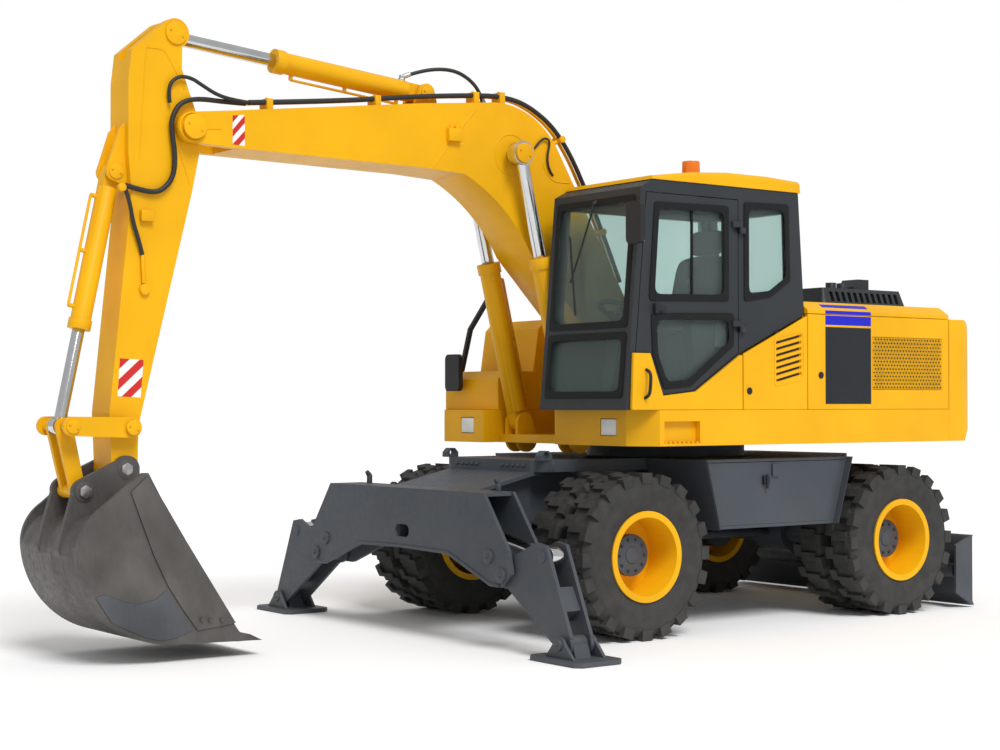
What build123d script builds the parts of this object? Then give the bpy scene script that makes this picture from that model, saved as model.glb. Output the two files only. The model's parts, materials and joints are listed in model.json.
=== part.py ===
from build123d import *
import os
from math import atan2, cos, degrees, hypot, radians, sin

os.makedirs("parts", exist_ok=True)

# Wheeled excavator, millimetres. Sketches are drawn with x forward from the swing centre,
# y to the left and z up from the ground.
base_x = -1339  # swing centre, seen from the middle of the whole machine

# Fits
fit = 0.3  # gap between pieces that seat on each other
pin_fit = 0.4  # gap round a pin
run_gap = 6  # gap between pieces that pass each other

# Wheels and axles
wheelbase = 2490
front_x = 1280  # front axle
tyre_radius = 550
tyre_width = 262
twin_gap = 54
track_outer_y = 1259  # outer face of the outer tyres
bead_half = 114
seat_radius = 274
flange_radius = 300
flange_width = 14
rim_wall = 16
rim_disc = 30
hub_radius = 138
hub_reach = 125
drum_radius = 185
drum_width = 49
axle_half = 90
yoke_half = 70
yoke_reach = 170
kingpin_y = 790
knuckle_half = 115
arm_back = 185
arm_in = 200
kingpin_radius = 40
diff_radius = 150

outer_y = track_outer_y - tyre_width / 2
inner_y = outer_y - tyre_width - twin_gap
disc_y = (outer_y + inner_y) / 2
axle_z = tyre_radius
rear_x = front_x - wheelbase
hub_face = disc_y - rim_disc / 2 - drum_width

# Chassis
frame_half = 380
frame_bottom = 720
frame_top = 1090
frame_rear = rear_x - 420
frame_front = front_x + 360
deck_half = 580
deck_top = 1170
ring_radius = 590
upper_bottom = 1270
neck_half = 395

# Outriggers
beam_rear = front_x + 835
beam_front = beam_rear + 260
beam_plate = 25
beam_top = 988
beam_bottom = 585
leg_pivot = (1122, 480)
leg_eye = (1480, 618)
leg_cylinder = (150, 840)
pad_pin = (1697, 110)
pad_half_x = 185
pad_half_y = 250
pad_plate = 30
leg_plate = 25
leg_side_gap = 15

# Blade
blade_half = 1245
blade_edge = rear_x - 830
blade_back = blade_edge + 210
blade_top = 550
blade_low = 15
blade_pivot = (rear_x - 280, 520)
blade_eye = (rear_x - 660, 400)
blade_cylinder = (rear_x - 510, 960)
blade_arm_y = 300
blade_cylinder_y = 150

# Upper structure
skirt_top = 1510
upper_half = 1245
skirt_wall = 60
upper_front = 1290
cover_seam = -1760
tail_x = -2160
weight_top = 2190
cover_top = 2280
cab_left = upper_half - 29
cab_right = 300
cab_wall = 60
bay_front = -235

# Working arm
arm_y = -130
boom_half = 205
boom_foot = (350, 1850)
boom_rod_pin = (1505, 3298)
boom_cylinder = (1050, 1420)
boom_cylinder_side = 310
stick_pivot = (3972, 3272)
stick_base_pin = (2140, 3688)
stick_rod_pin = (4055, 3858)
stick_half = 130
bucket_pin = (4394, 1158)
rocker_pin = (4378, 1410)
rod_pin = (4757, 1420)
link_pin = (4668, 1030)
bucket_base_pin = (4430, 2975)
bucket_half = 450
bucket_wall = 30


# Planes: a side plane at distance y to the left, a level plane at height z,
# and a cross plane at distance x forward
def side(y):
    return Plane(origin=(base_x, y, 0), x_dir=(1, 0, 0), z_dir=(0, -1, 0))


def level(z):
    return Plane(origin=(base_x, 0, z), x_dir=(1, 0, 0), z_dir=(0, 0, 1))


def cross(x):
    return Plane(origin=(base_x + x, 0, 0), x_dir=(0, 1, 0), z_dir=(1, 0, 0))


def save(piece, name):
    piece.part.label = name
    export_step(piece.part, f"parts/{name}.step")


# Closed outline on the running sketch
def outline(points, mode=Mode.ADD):
    Polygon(*points, align=None, mode=mode)


# Bar with round ends from one pin to another, on the running sketch
def strap(a, b, ra, rb):
    length = hypot(b[0] - a[0], b[1] - a[1])
    turn = atan2(b[1] - a[1], b[0] - a[0])
    lean = atan2(ra - rb, length)
    up, down = turn + radians(90) - lean, turn - radians(90) + lean
    points = [
        (a[0] + ra * cos(up), a[1] + ra * sin(up)),
        (b[0] + rb * cos(up), b[1] + rb * sin(up)),
        (b[0] + rb * cos(down), b[1] + rb * sin(down)),
        (a[0] + ra * cos(down), a[1] + ra * sin(down)),
    ]
    outline(points)
    with Locations(a):
        Circle(ra)
    with Locations(b):
        Circle(rb)


def disc(centre, radius, mode=Mode.ADD):
    with Locations(centre):
        Circle(radius, mode=mode)


# Hydraulic cylinder: the barrel from pin a, and the rod that ends in an eye at pin b.
# The bore is as wide as the rod's gland, so that the rod seats in it.
bore_end = 10


def barrel(plane_at, spots, a, b, length, neck, radius, bore, eye, pin):
    turn = degrees(atan2(b[1] - a[1], b[0] - a[0]))
    start = (a[0] + neck * cos(radians(turn)), a[1] + neck * sin(radians(turn)))
    with BuildPart() as piece:
        for spot in spots:
            with BuildSketch(plane_at(spot)):
                strap(a, start, radius * 0.8, radius * 0.8)
            extrude(amount=eye, both=True)
            centre = plane_at(spot).from_local_coords((a[0], a[1], 0))
            along = plane_at(spot).x_dir.rotate(Axis((0, 0, 0), plane_at(spot).z_dir), turn)
            with BuildSketch(Plane(origin=centre + along * neck, z_dir=along)):
                Circle(radius)
            extrude(amount=length - neck)
            head = centre + along * (length - radius)
            with BuildSketch(Plane(origin=head, z_dir=along)):
                Circle(radius * 1.14)
            extrude(amount=radius)
            with BuildSketch(Plane(origin=centre + along * (neck + bore_end), z_dir=along)):
                Circle(bore)
            extrude(amount=length * 2, mode=Mode.SUBTRACT)
            with BuildSketch(plane_at(spot)):
                disc(a, pin + pin_fit)
            extrude(amount=eye * 2, both=True, mode=Mode.SUBTRACT)
    return piece


def rod(plane_at, spots, a, b, length, radius, eye, eye_radius, pin):
    turn = degrees(atan2(b[1] - a[1], b[0] - a[0]))
    with BuildPart() as piece:
        for spot in spots:
            with BuildSketch(plane_at(spot)):
                disc(b, eye_radius)
            extrude(amount=eye, both=True)
            centre = plane_at(spot).from_local_coords((b[0], b[1], 0))
            along = plane_at(spot).x_dir.rotate(Axis((0, 0, 0), plane_at(spot).z_dir), turn + 180)
            with BuildSketch(Plane(origin=centre, z_dir=along)):
                Circle(radius)
            extrude(amount=length)
            if pin:
                with BuildSketch(plane_at(spot)):
                    disc(b, pin)
                extrude(amount=eye * 2, both=True, mode=Mode.SUBTRACT)
    return piece


# Chassis frame with its deck, swing ring seat, neck and rear lugs
neck_top = (frame_top, beam_top - 8)
neck_front = beam_rear - fit
neck_root = 60  # how far the neck runs back under the deck
neck_plate = 25
neck_plate_half = 495
tie_lug_x = (frame_front - 100, frame_front)
tie_lug_y = 550
tie_lug_top = 1235
tie_lug_hole = 25
blade_lug = 20
with BuildPart() as chassis_frame:
    with BuildSketch(side(0)):
        outline([(frame_rear, frame_bottom + 120), (frame_rear + 200, frame_bottom),
                 (frame_front - 240, frame_bottom),
                 (frame_front, frame_bottom + 40), (frame_front, frame_top), (frame_rear, frame_top)])
    extrude(amount=frame_half, both=True)
    with BuildSketch(side(0)):
        outline([(frame_front - neck_root, 700), (frame_front, 700), (neck_front, 640),
                 (neck_front, neck_top[1] - neck_plate / 2), (frame_front, neck_top[0] - neck_plate / 2),
                 (frame_front - neck_root, neck_top[0] - neck_plate / 2)])
    extrude(amount=neck_half, both=True)
    with BuildSketch(side(0)):
        outline([(frame_front - neck_root, neck_top[0]), (frame_front, neck_top[0]),
                 (neck_front, neck_top[1]),
                 (neck_front, neck_top[1] - neck_plate), (frame_front, neck_top[0] - neck_plate),
                 (frame_front - neck_root, neck_top[0] - neck_plate)])
    extrude(amount=neck_plate_half, both=True)
    with BuildSketch(level(frame_top)) as deck:
        outline([(frame_rear + 200, -deck_half), (frame_front, -deck_half), (frame_front, deck_half),
                 (frame_rear + 200, deck_half)])
        fillet(deck.vertices(), 120)
    extrude(amount=deck_top - frame_top)
    with BuildSketch(level(deck_top)):
        Circle(ring_radius)
        Circle(ring_radius - 160, mode=Mode.SUBTRACT)
    extrude(amount=upper_bottom - fit - deck_top)
    for lug_y in (-tie_lug_y, tie_lug_y):
        with BuildSketch(side(lug_y)):
            outline([(tie_lug_x[0], deck_top), (tie_lug_x[1], deck_top), (tie_lug_x[1], 1205),
                     (tie_lug_x[1] - 30, tie_lug_top), (tie_lug_x[0] + 30, tie_lug_top), (tie_lug_x[0],
                                                                                          1205)])
            disc((tie_lug_x[0] + 50, 1202), tie_lug_hole, Mode.SUBTRACT)
        extrude(amount=30, both=True)
    for lug_y in (-blade_arm_y, blade_arm_y):
        for shift in (-31, 31):
            with BuildSketch(side(lug_y + shift)):
                strap(blade_pivot, (blade_pivot[0], frame_bottom + 20), 70, 90)
            extrude(amount=blade_lug / 2, both=True)
        with BuildSketch(side(lug_y)):
            disc(blade_pivot, 35)
        extrude(amount=60, both=True)
    for lug_y in (-blade_cylinder_y, blade_cylinder_y):
        for shift in (-46, 46):
            with BuildSketch(side(lug_y + shift)):
                strap(blade_cylinder, (blade_cylinder[0] + 70, blade_cylinder[1] + 20), 45, 80)
            extrude(amount=10, both=True)
        with BuildSketch(side(lug_y)):
            disc(blade_cylinder, 22)
        extrude(amount=70, both=True)
save(chassis_frame, "chassis_frame")

# Front axle with a yoke at each end
with BuildPart() as front_axle:
    with BuildSketch(side(0)) as beam:
        with Locations((front_x, axle_z)):
            RectangleRounded(axle_half * 2, axle_half * 1.8, 30)
    extrude(amount=600, both=True)
    with BuildSketch(side(0)):
        disc((front_x, axle_z), diff_radius)
    extrude(amount=160, both=True)
    with BuildSketch(side(0)):
        outline([(front_x - 100, axle_z), (front_x + 100, axle_z), (front_x + 70, frame_bottom),
                 (front_x - 70, frame_bottom)])
    extrude(amount=110, both=True)
    for hand in (-1, 1):
        with BuildSketch(level(axle_z)):
            strap((front_x, hand * 620), (front_x, hand * kingpin_y), yoke_half, yoke_half)
        extrude(amount=yoke_reach, both=True)
        with BuildSketch(level(axle_z)):
            disc((front_x, hand * kingpin_y), knuckle_half - 15)
            outline([(front_x - 130, hand * 655), (front_x + 130, hand * 655), (front_x + 130, hand * 900),
                     (front_x - 130, hand * 900)])
        extrude(amount=knuckle_half, both=True, mode=Mode.SUBTRACT)
        with BuildSketch(level(axle_z)):
            disc((front_x, hand * kingpin_y), kingpin_radius + pin_fit)
        extrude(amount=-yoke_reach, mode=Mode.SUBTRACT)
save(front_axle, "front_axle")

# Rear axle with its wheel carriers
with BuildPart() as rear_axle:
    with BuildSketch(side(0)):
        disc((rear_x, axle_z), axle_half)
    extrude(amount=700, both=True)
    with BuildSketch(side(0)):
        disc((rear_x, axle_z), diff_radius)
    extrude(amount=160, both=True)
    for hand in (-1, 1):
        with BuildSketch(side(hand * 690)):
            disc((rear_x, axle_z), drum_radius - 15)
        extrude(amount=-hand * (hub_face - fit - 690))
        with BuildSketch(side(hand * 290)):
            outline([(rear_x - 120, axle_z), (rear_x + 120, axle_z), (rear_x + 90, frame_bottom),
                     (rear_x - 90, frame_bottom)])
        extrude(amount=50, both=True)
save(rear_axle, "rear_axle")

# Gearbox under the frame and its two shafts
gearbox = (-60, 330)
shaft_radius = 32
with BuildPart() as drive_train:
    with BuildSketch(side(0)) as case:
        outline([(gearbox[0], 440), (gearbox[1], 440), (gearbox[1], frame_bottom),
                 (gearbox[0], frame_bottom)])
    extrude(amount=170, both=True)
    with BuildSketch(cross(rear_x + diff_radius + fit)):
        disc((0, axle_z), shaft_radius)
    extrude(amount=wheelbase - 2 * diff_radius - 2 * fit)
save(drive_train, "drive_train")


# Wheels: two tyres on one double rim with its hub
def wheel_plane(x):
    return Plane(origin=(base_x + x, 0, axle_z), x_dir=(0, 1, 0), z_dir=(1, 0, 0))


def wheel_axis(x):
    return Axis((base_x + x, 0, axle_z), (0, 1, 0))


lug_count = 20
lug_height = 26
lug_root = tyre_radius - 70


# One row of tread lugs on the running sketch, each a trapezoid from the carcass to the tread's outside
def lug_row(x, turn, width):
    step = radians(360 / lug_count)
    for i in range(lug_count):
        middle = i * step + radians(turn)
        half_foot, half_tip = radians(width / 2) * 1.15, radians(width / 2)
        outline([(x + r * cos(middle + a), axle_z + r * sin(middle + a)) for r, a in (
            (lug_root, -half_foot), (tyre_radius, -half_tip), (tyre_radius, half_tip), (lug_root,
                                                                                        half_foot))])


def tyres(x, hand):
    half = tyre_width / 2
    tread = tyre_radius - lug_height
    with BuildPart() as piece:
        for middle in (inner_y, outer_y):
            with BuildSketch(wheel_plane(x)):
                outline([(hand * (middle + dy), r) for dy, r in (
                    (-bead_half, seat_radius + fit), (-bead_half, flange_radius + 2), (-half,
                                                                                       flange_radius + 85),
                    (-half + 4, tread - 50), (-half + 40, tread), (half - 40, tread), (half - 4,
                                                                                       tread - 50),
                    (half, flange_radius + 85), (bead_half, flange_radius + 2), (bead_half,
                                                                                 seat_radius + fit))])
            revolve(axis=wheel_axis(x))
            for row in (-1, 1):
                for near, far, turn, width in ((0.98, 0.5, 0, 9), (0.5, -0.06, 4.5, 7)):
                    with BuildSketch(side(hand * middle + row * half * near)):
                        lug_row(x, (turn if row > 0 else 9 - turn), width)
                    extrude(amount=row * half * (near - far))
    return piece


def rims(x, hand):
    inner = seat_radius - rim_wall
    reach = bead_half + fit + flange_width
    with BuildPart() as piece:
        with BuildSketch(wheel_plane(x)):
            with Locations((hand * disc_y, seat_radius - rim_wall / 2)):
                Rectangle(outer_y - inner_y + 2 * reach, rim_wall)
            for middle in (inner_y, outer_y):
                for end in (-1, 1):
                    with Locations((hand * (middle + end * (reach - flange_width / 2)),
                                    (inner + flange_radius) / 2)):
                        Rectangle(flange_width, flange_radius - inner)
            with Locations((hand * disc_y, inner / 2)):
                Rectangle(rim_disc, inner)
            with Locations((hand * (disc_y - rim_disc / 2 - drum_width / 2), drum_radius / 2)):
                Rectangle(drum_width, drum_radius)
            outline([(hand * disc_y, 0), (hand * disc_y, hub_radius),
                     (hand * (disc_y + hub_reach * 0.6), hub_radius), (hand * (disc_y + hub_reach),
                                                                       hub_radius * 0.8),
                     (hand * (disc_y + hub_reach), 0)])
        revolve(axis=wheel_axis(x))
    return piece


for end_name, wheel_x in (("front", front_x), ("rear", rear_x)):
    for hand_name, hand in (("left", 1), ("right", -1)):
        save(tyres(wheel_x, hand), f"{end_name}_{hand_name}_tyres")
        save(rims(wheel_x, hand), f"{end_name}_{hand_name}_rims")

# Steering knuckles on their kingpins, with the arms below the yokes, and the tie rod under the arms
arm_z = axle_z - yoke_reach - run_gap
arm_thick = 25
for hand_name, hand in (("left", 1), ("right", -1)):
    with BuildPart() as knuckle:
        with BuildSketch(level(axle_z)):
            disc((front_x, hand * kingpin_y), yoke_half)
        extrude(amount=knuckle_half - fit, both=True)
        with BuildSketch(side(hand * kingpin_y)):
            disc((front_x, axle_z), knuckle_half - 5)
        extrude(amount=-hand * (hub_face - 30 - kingpin_y))
        with BuildSketch(side(hand * (hub_face - 30))):
            disc((front_x, axle_z), drum_radius - 15)
        extrude(amount=-hand * (30 - fit))
        with BuildSketch(level(axle_z)):
            disc((front_x, hand * kingpin_y), kingpin_radius)
        extrude(amount=arm_z - axle_z)
        with BuildSketch(level(arm_z)):
            strap((front_x, hand * kingpin_y), (front_x - arm_back, hand * (kingpin_y - arm_in)), 50, 34)
        extrude(amount=-arm_thick)
    save(knuckle, f"front_{hand_name}_knuckle")

tie_radius = 18
with BuildPart() as tie_rod:
    with BuildSketch(side(0)):
        disc((front_x - arm_back, arm_z - arm_thick - fit - 20), tie_radius)
    extrude(amount=kingpin_y - arm_in, both=True)
    for hand in (-1, 1):
        with BuildSketch(level(arm_z - arm_thick - fit)):
            disc((front_x - arm_back, hand * (kingpin_y - arm_in)), 32)
        extrude(amount=-40)
save(tie_rod, "tie_rod")

# Side boxes between the wheels, open on the outside, with slanted mudguard ends
box_out = 1150
box_in = deck_half
box_low = 690
box_front = (front_x - 585, front_x - 708)  # at the top and at the bottom
box_rear = (rear_x + 480, rear_x + 630)
lid_edge = 16
lid_z = (box_low + 25, deck_top - 22)
lid_thick = 20
flange = 12
guard_out = 1205
lid_gap = 3


# The lid's outline follows the slanted ends of the box, and its lower edge rests on the box
def lid_shape(gap):
    low, high = lid_z[0] + min(gap, fit), lid_z[1] - gap
    rise = (deck_top - box_low)
    front = [box_front[1] + (box_front[0] - box_front[1]) * (z - box_low) / rise for z in (low, high)]
    rear = [box_rear[1] + (box_rear[0] - box_rear[1]) * (z - box_low) / rise for z in (low, high)]
    edge = lid_edge + gap
    return [(front[0] - edge, low), (front[1] - edge, high), (rear[1] + edge, high), (rear[0] + edge, low)]


with BuildPart() as side_boxes:
    for hand in (-1, 1):
        with BuildSketch(side(hand * box_out)):
            outline([(box_front[0], deck_top), (box_front[1], box_low), (box_rear[1], box_low),
                     (box_rear[0], deck_top)])
        extrude(amount=hand * (box_out - box_in))
        with BuildSketch(side(hand * box_in)):
            outline([(box_front[0], deck_top), (box_front[0] + flange, deck_top),
                     (box_front[1] + flange, box_low), (box_front[1], box_low)])
            outline([(box_rear[0], deck_top), (box_rear[0] - flange, deck_top),
                     (box_rear[1] - flange, box_low), (box_rear[1], box_low)])
        extrude(amount=-hand * (guard_out - box_in))
    with BuildSketch(side(box_out)):
        outline(lid_shape(0))
    extrude(amount=box_out - box_in - 20, mode=Mode.SUBTRACT)
save(side_boxes, "side_boxes")

with BuildPart() as toolbox_lid:
    with BuildSketch(side(box_out)):
        outline(lid_shape(lid_gap))
    extrude(amount=lid_thick)
    with BuildSketch(side(box_out)):
        with Locations((0, lid_z[1] - 60)):
            RectangleRounded(70, 90, 10)
    extrude(amount=-15)
save(toolbox_lid, "toolbox_lid")

# Outrigger beam: two long plates, joined by a box in the middle, with the pins of legs and cylinders
beam_half_shape = [(0, beam_top), (928, beam_top), (1195, 640), (1230, 494), (1115, 405), (1010, 405),
                   (535, beam_bottom - 10), (0, beam_bottom)]
beam_in = (beam_rear + beam_plate, beam_front - beam_plate)
beam_gap = beam_in[1] - beam_in[0]
leg_pin = 40
leg_cylinder_pin = 30
with BuildPart() as outrigger_beam:
    for plate_x in (beam_rear, beam_in[1]):
        with BuildSketch(cross(plate_x)):
            outline(beam_half_shape)
            mirror(about=Plane.YZ)
            with Locations((0, 700)):
                SlotOverall(170, 85, mode=Mode.SUBTRACT)
        extrude(amount=beam_plate)
    with BuildSketch(cross(beam_in[0])):
        with Locations((0, beam_top - beam_plate / 2)):
            Rectangle(1840, beam_plate)
        with Locations((0, beam_bottom + beam_plate / 2)):
            Rectangle(900, beam_plate)
        for hand in (-1, 1):
            with Locations((hand * 80, (beam_top + beam_bottom) / 2)):
                Rectangle(beam_plate, beam_top - beam_bottom)
            disc((hand * leg_pivot[0], leg_pivot[1]), leg_pin)
            disc((hand * leg_cylinder[0], leg_cylinder[1]), leg_cylinder_pin)
    extrude(amount=beam_gap)
save(outrigger_beam, "outrigger_beam")

# Outrigger legs, pads and cylinders
leg_in = (beam_in[0] + leg_side_gap, beam_in[1] - leg_side_gap)
leg_gap = leg_in[1] - leg_in[0] - 2 * leg_plate
pad_x = (leg_in[0] + leg_in[1]) / 2
pad_pin_radius = 28
leg_barrel_radius = 52
leg_barrel_length = 690
leg_rod_length = 740
leg_rod_radius = 32
leg_eye_half = 44
for hand_name, hand in (("left", 1), ("right", -1)):
    with BuildPart() as leg:
        for plate_x in (leg_in[0], leg_in[1] - leg_plate):
            with BuildSketch(cross(plate_x)):
                outline([(hand * y, z) for y, z in (
                    (1069, 554), (1430, 703), (1525, 688), (1762, 150), (1642, 66), (1137, 398))])
                disc((hand * leg_pivot[0], leg_pivot[1]), 85)
                disc((hand * pad_pin[0], pad_pin[1]), 70)
                disc((hand * leg_pivot[0], leg_pivot[1]), leg_pin + pin_fit, Mode.SUBTRACT)
            extrude(amount=leg_plate)
        with BuildSketch(cross(leg_in[0] + leg_plate)):
            disc((hand * leg_pivot[0], leg_pivot[1]), 62)
            disc((hand * leg_pivot[0], leg_pivot[1]), leg_pin + pin_fit, Mode.SUBTRACT)
            disc((hand * pad_pin[0], pad_pin[1]), pad_pin_radius)
            outline([(hand * y, z) for y, z in ((1435, 330), (1565, 225), (1665, 300), (1590, 440))])
        extrude(amount=leg_gap)
    save(leg, f"{hand_name}_outrigger_leg")

    with BuildPart() as pad:
        with BuildSketch(level(0)) as foot:
            with Locations((pad_x, hand * pad_pin[0])):
                Rectangle(pad_half_x * 2, pad_half_y * 2)
            chamfer(foot.vertices(), 40)
        extrude(amount=pad_plate)
        with BuildSketch(cross(pad_x - 60)):
            outline([(hand * pad_pin[0] - 80, pad_plate), (hand * pad_pin[0] + 80, pad_plate),
                     (hand * pad_pin[0] + 50, pad_pin[1]), (hand * pad_pin[0] - 50, pad_pin[1])])
            disc((hand * pad_pin[0], pad_pin[1]), 50)
            disc((hand * pad_pin[0], pad_pin[1]), pad_pin_radius + pin_fit, Mode.SUBTRACT)
        extrude(amount=120)
    save(pad, f"{hand_name}_outrigger_pad")

    base, eye = (hand * leg_cylinder[0], leg_cylinder[1]), (hand * leg_eye[0], leg_eye[1])
    leg_barrel = barrel(cross, [pad_x], base, eye, leg_barrel_length, 60, leg_barrel_radius,
                        leg_rod_radius + fit,
                        leg_eye_half, leg_cylinder_pin)
    save(leg_barrel, f"{hand_name}_outrigger_barrel")
    leg_rod = rod(cross, [pad_x], base, eye, leg_rod_length, leg_rod_radius, leg_eye_half, 58, 0)
    save(leg_rod, f"{hand_name}_outrigger_rod")

# Blade with its arms and cylinders
with BuildPart() as blade:
    with BuildSketch(side(0)):
        with BuildLine():
            ThreePointArc((blade_edge, blade_low), (blade_edge + 85, 270), (blade_edge + 10, blade_top))
            Line((blade_edge + 10, blade_top), (blade_edge + 50, blade_top))
            ThreePointArc((blade_edge + 50, blade_top), (blade_edge + 120, 270),
                          (blade_edge + 40, blade_low))
            Line((blade_edge + 40, blade_low), (blade_edge, blade_low))
        make_face()
    extrude(amount=blade_half, both=True)
    for hand in (-1, 1):
        with BuildSketch(side(hand * blade_half)):
            outline([(blade_edge + 20, blade_low), (blade_back, 120), (blade_back, 480),
                     (blade_edge + 20, blade_top)])
        extrude(amount=hand * 20)
        with BuildSketch(side(hand * blade_arm_y)):
            strap(blade_pivot, (blade_edge + 110, 280), 60, 90)
            disc(blade_pivot, 35 + pin_fit, Mode.SUBTRACT)
        extrude(amount=20, both=True)
        for shift in (-46, 46):
            with BuildSketch(side(hand * blade_cylinder_y + shift)):
                strap(blade_eye, (blade_edge + 100, 330), 40, 80)
            extrude(amount=10, both=True)
    with BuildSketch(side(0)):
        disc((blade_edge + 125, 280), 60)
    extrude(amount=blade_half - 60, both=True)
save(blade, "blade")

blade_rod = 26
blade_barrels = barrel(side, [-blade_cylinder_y, blade_cylinder_y], blade_cylinder, blade_eye, 340, 70, 45,
                       blade_rod + fit, 34, 22)
save(blade_barrels, "blade_barrels")
blade_rods = rod(side, [-blade_cylinder_y, blade_cylinder_y], blade_cylinder, blade_eye, 330,
                 blade_rod, 35.7, 38, 0)
save(blade_rods, "blade_rods")

# Upper frame: skirts on both sides of the boom bay, deck plate, boom brackets and cylinder lugs
bay_left = 290
bay_right = -560
bay_end = 1150
foot_pin_radius = 45
bracket = 40
lamp_z = 1395
lamp_y = (870, -760)
lamp_size = (170, 120)
lamp_depth = 40
step_x = (800, 1120)
step_z = (upper_bottom + 18, upper_bottom + 165)
with BuildPart() as upper_frame:
    with BuildSketch(level(upper_bottom)):
        outline([(cover_seam, -upper_half), (upper_front - 130, -upper_half),
                 (upper_front, -upper_half + 190),
                 (upper_front, bay_right), (bay_end, bay_right), (bay_end, bay_left), (upper_front,
                                                                                       bay_left),
                 (upper_front, upper_half - 190), (upper_front - 130, upper_half), (cover_seam,
                                                                                    upper_half)])
    extrude(amount=skirt_top - upper_bottom)
    with BuildSketch(level(upper_bottom + skirt_wall)):
        outline([(cover_seam - 10, bay_right), (bay_end + 200, bay_right), (bay_end + 200, bay_left),
                 (cover_seam - 10, bay_left)])
    extrude(amount=skirt_top, mode=Mode.SUBTRACT)
    with BuildSketch(level(upper_bottom + skirt_wall)):
        outline([(cover_seam + skirt_wall, bay_left + skirt_wall),
                 (upper_front - skirt_wall, bay_left + skirt_wall),
                 (upper_front - skirt_wall, upper_half - 240), (upper_front - 200, upper_half - skirt_wall),
                 (cover_seam + skirt_wall, upper_half - skirt_wall)])
        outline([(cover_seam + skirt_wall, bay_right - skirt_wall),
                 (upper_front - skirt_wall, bay_right - skirt_wall),
                 (upper_front - skirt_wall, -upper_half + 240), (upper_front - 200,
                                                                 -upper_half + skirt_wall),
                 (cover_seam + skirt_wall, -upper_half + skirt_wall)])
    extrude(amount=skirt_top - upper_bottom - 2 * skirt_wall, mode=Mode.SUBTRACT)
    for y in lamp_y:
        with BuildSketch(cross(upper_front)):
            with Locations((y, lamp_z)):
                Rectangle(*lamp_size)
        extrude(amount=-lamp_depth, mode=Mode.SUBTRACT)
    with BuildSketch(side(upper_half)):
        outline([(step_x[0], step_z[0]), (step_x[1], step_z[0]), (step_x[1], step_z[1]),
                 (step_x[0], step_z[1])])
    extrude(amount=skirt_wall - 15, mode=Mode.SUBTRACT)
    for hand in (-1, 1):
        with BuildSketch(side(arm_y + hand * (boom_half + run_gap + bracket / 2))):
            outline([(60, upper_bottom + skirt_wall), (640, upper_bottom + skirt_wall), (465, boom_foot[1]),
                     (235, boom_foot[1])])
            disc(boom_foot, 115)
        extrude(amount=bracket / 2, both=True)
        for shift in (-63, 63):
            with BuildSketch(side(arm_y + hand * boom_cylinder_side + shift)):
                strap(boom_cylinder, (boom_cylinder[0] - 20, upper_bottom + 20), 70, 90)
            extrude(amount=14, both=True)
        with BuildSketch(side(arm_y + hand * boom_cylinder_side)):
            disc(boom_cylinder, 40)
        extrude(amount=75, both=True)
    with BuildSketch(side(arm_y)):
        disc(boom_foot, foot_pin_radius)
    extrude(amount=boom_half + run_gap + bracket, both=True)
save(upper_frame, "upper_frame")

# Counterweight with a round tail and two lifting eyes
lift_eye = (cover_seam - 90, 640)
lift_hole = 26
with BuildPart() as counterweight:
    with BuildSketch(level(upper_bottom)) as plan:
        with BuildLine():
            Polyline((-2010, upper_half - 30), (-1940, upper_half), (cover_seam - fit, upper_half),
                     (cover_seam - fit, -upper_half), (-1940, -upper_half), (-2010, -upper_half + 30))
            ThreePointArc((-2010, -upper_half + 30), (tail_x, 0), (-2010, upper_half - 30))
        make_face()
    extrude(amount=weight_top - upper_bottom)
    chamfer(counterweight.faces().sort_by(Axis.Z)[0].edges().filter_by(GeomType.CIRCLE), 90, 60)
    fillet(counterweight.faces().sort_by(Axis.Z)[-1].edges().filter_by(GeomType.CIRCLE), 80)
    for y in (-lift_eye[1], lift_eye[1]):
        with BuildSketch(side(y)):
            strap((lift_eye[0], weight_top + 50), (lift_eye[0], weight_top - 20), 55, 70)
            disc((lift_eye[0], weight_top + 50), lift_hole, Mode.SUBTRACT)
        extrude(amount=20, both=True)
save(counterweight, "counterweight")

# Engine under the hood
with BuildPart() as engine_block:
    with BuildSketch(level(upper_bottom + skirt_wall)):
        with Locations((-1150, (bay_left + bay_right) / 2)):
            Rectangle(900, bay_left - bay_right - 60)
    extrude(amount=700)
save(engine_block, "engine_block")

# Engine bay cover with the opening for the hood, and its front wall
hood_x = (-1590, -690)
hood_y = (-620, 960)
cover_edge = 90
with BuildPart() as top_cover:
    with BuildSketch(cross(bay_front)):
        outline([(-upper_half, weight_top), (-upper_half, weight_top + 30),
                 (-upper_half + cover_edge, cover_top),
                 (upper_half - cover_edge, cover_top), (upper_half, weight_top + 30), (upper_half,
                                                                                       weight_top)])
    extrude(amount=cover_seam - bay_front)
    with BuildSketch(level(weight_top)):
        outline([(hood_x[0], hood_y[0]), (hood_x[1], hood_y[0]), (hood_x[1], hood_y[1]),
                 (hood_x[0], hood_y[1])])
    extrude(amount=200, mode=Mode.SUBTRACT)
    with BuildSketch(cross(bay_front)):
        outline([(-upper_half + 50, skirt_top), (upper_half - 50, skirt_top), (upper_half - 50, weight_top),
                 (-upper_half + 50, weight_top)])
        outline([(bay_right, upper_bottom + skirt_wall), (bay_left, upper_bottom + skirt_wall),
                 (bay_left, skirt_top), (bay_right, skirt_top)])
    extrude(amount=-25)
save(top_cover, "top_cover")

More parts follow.
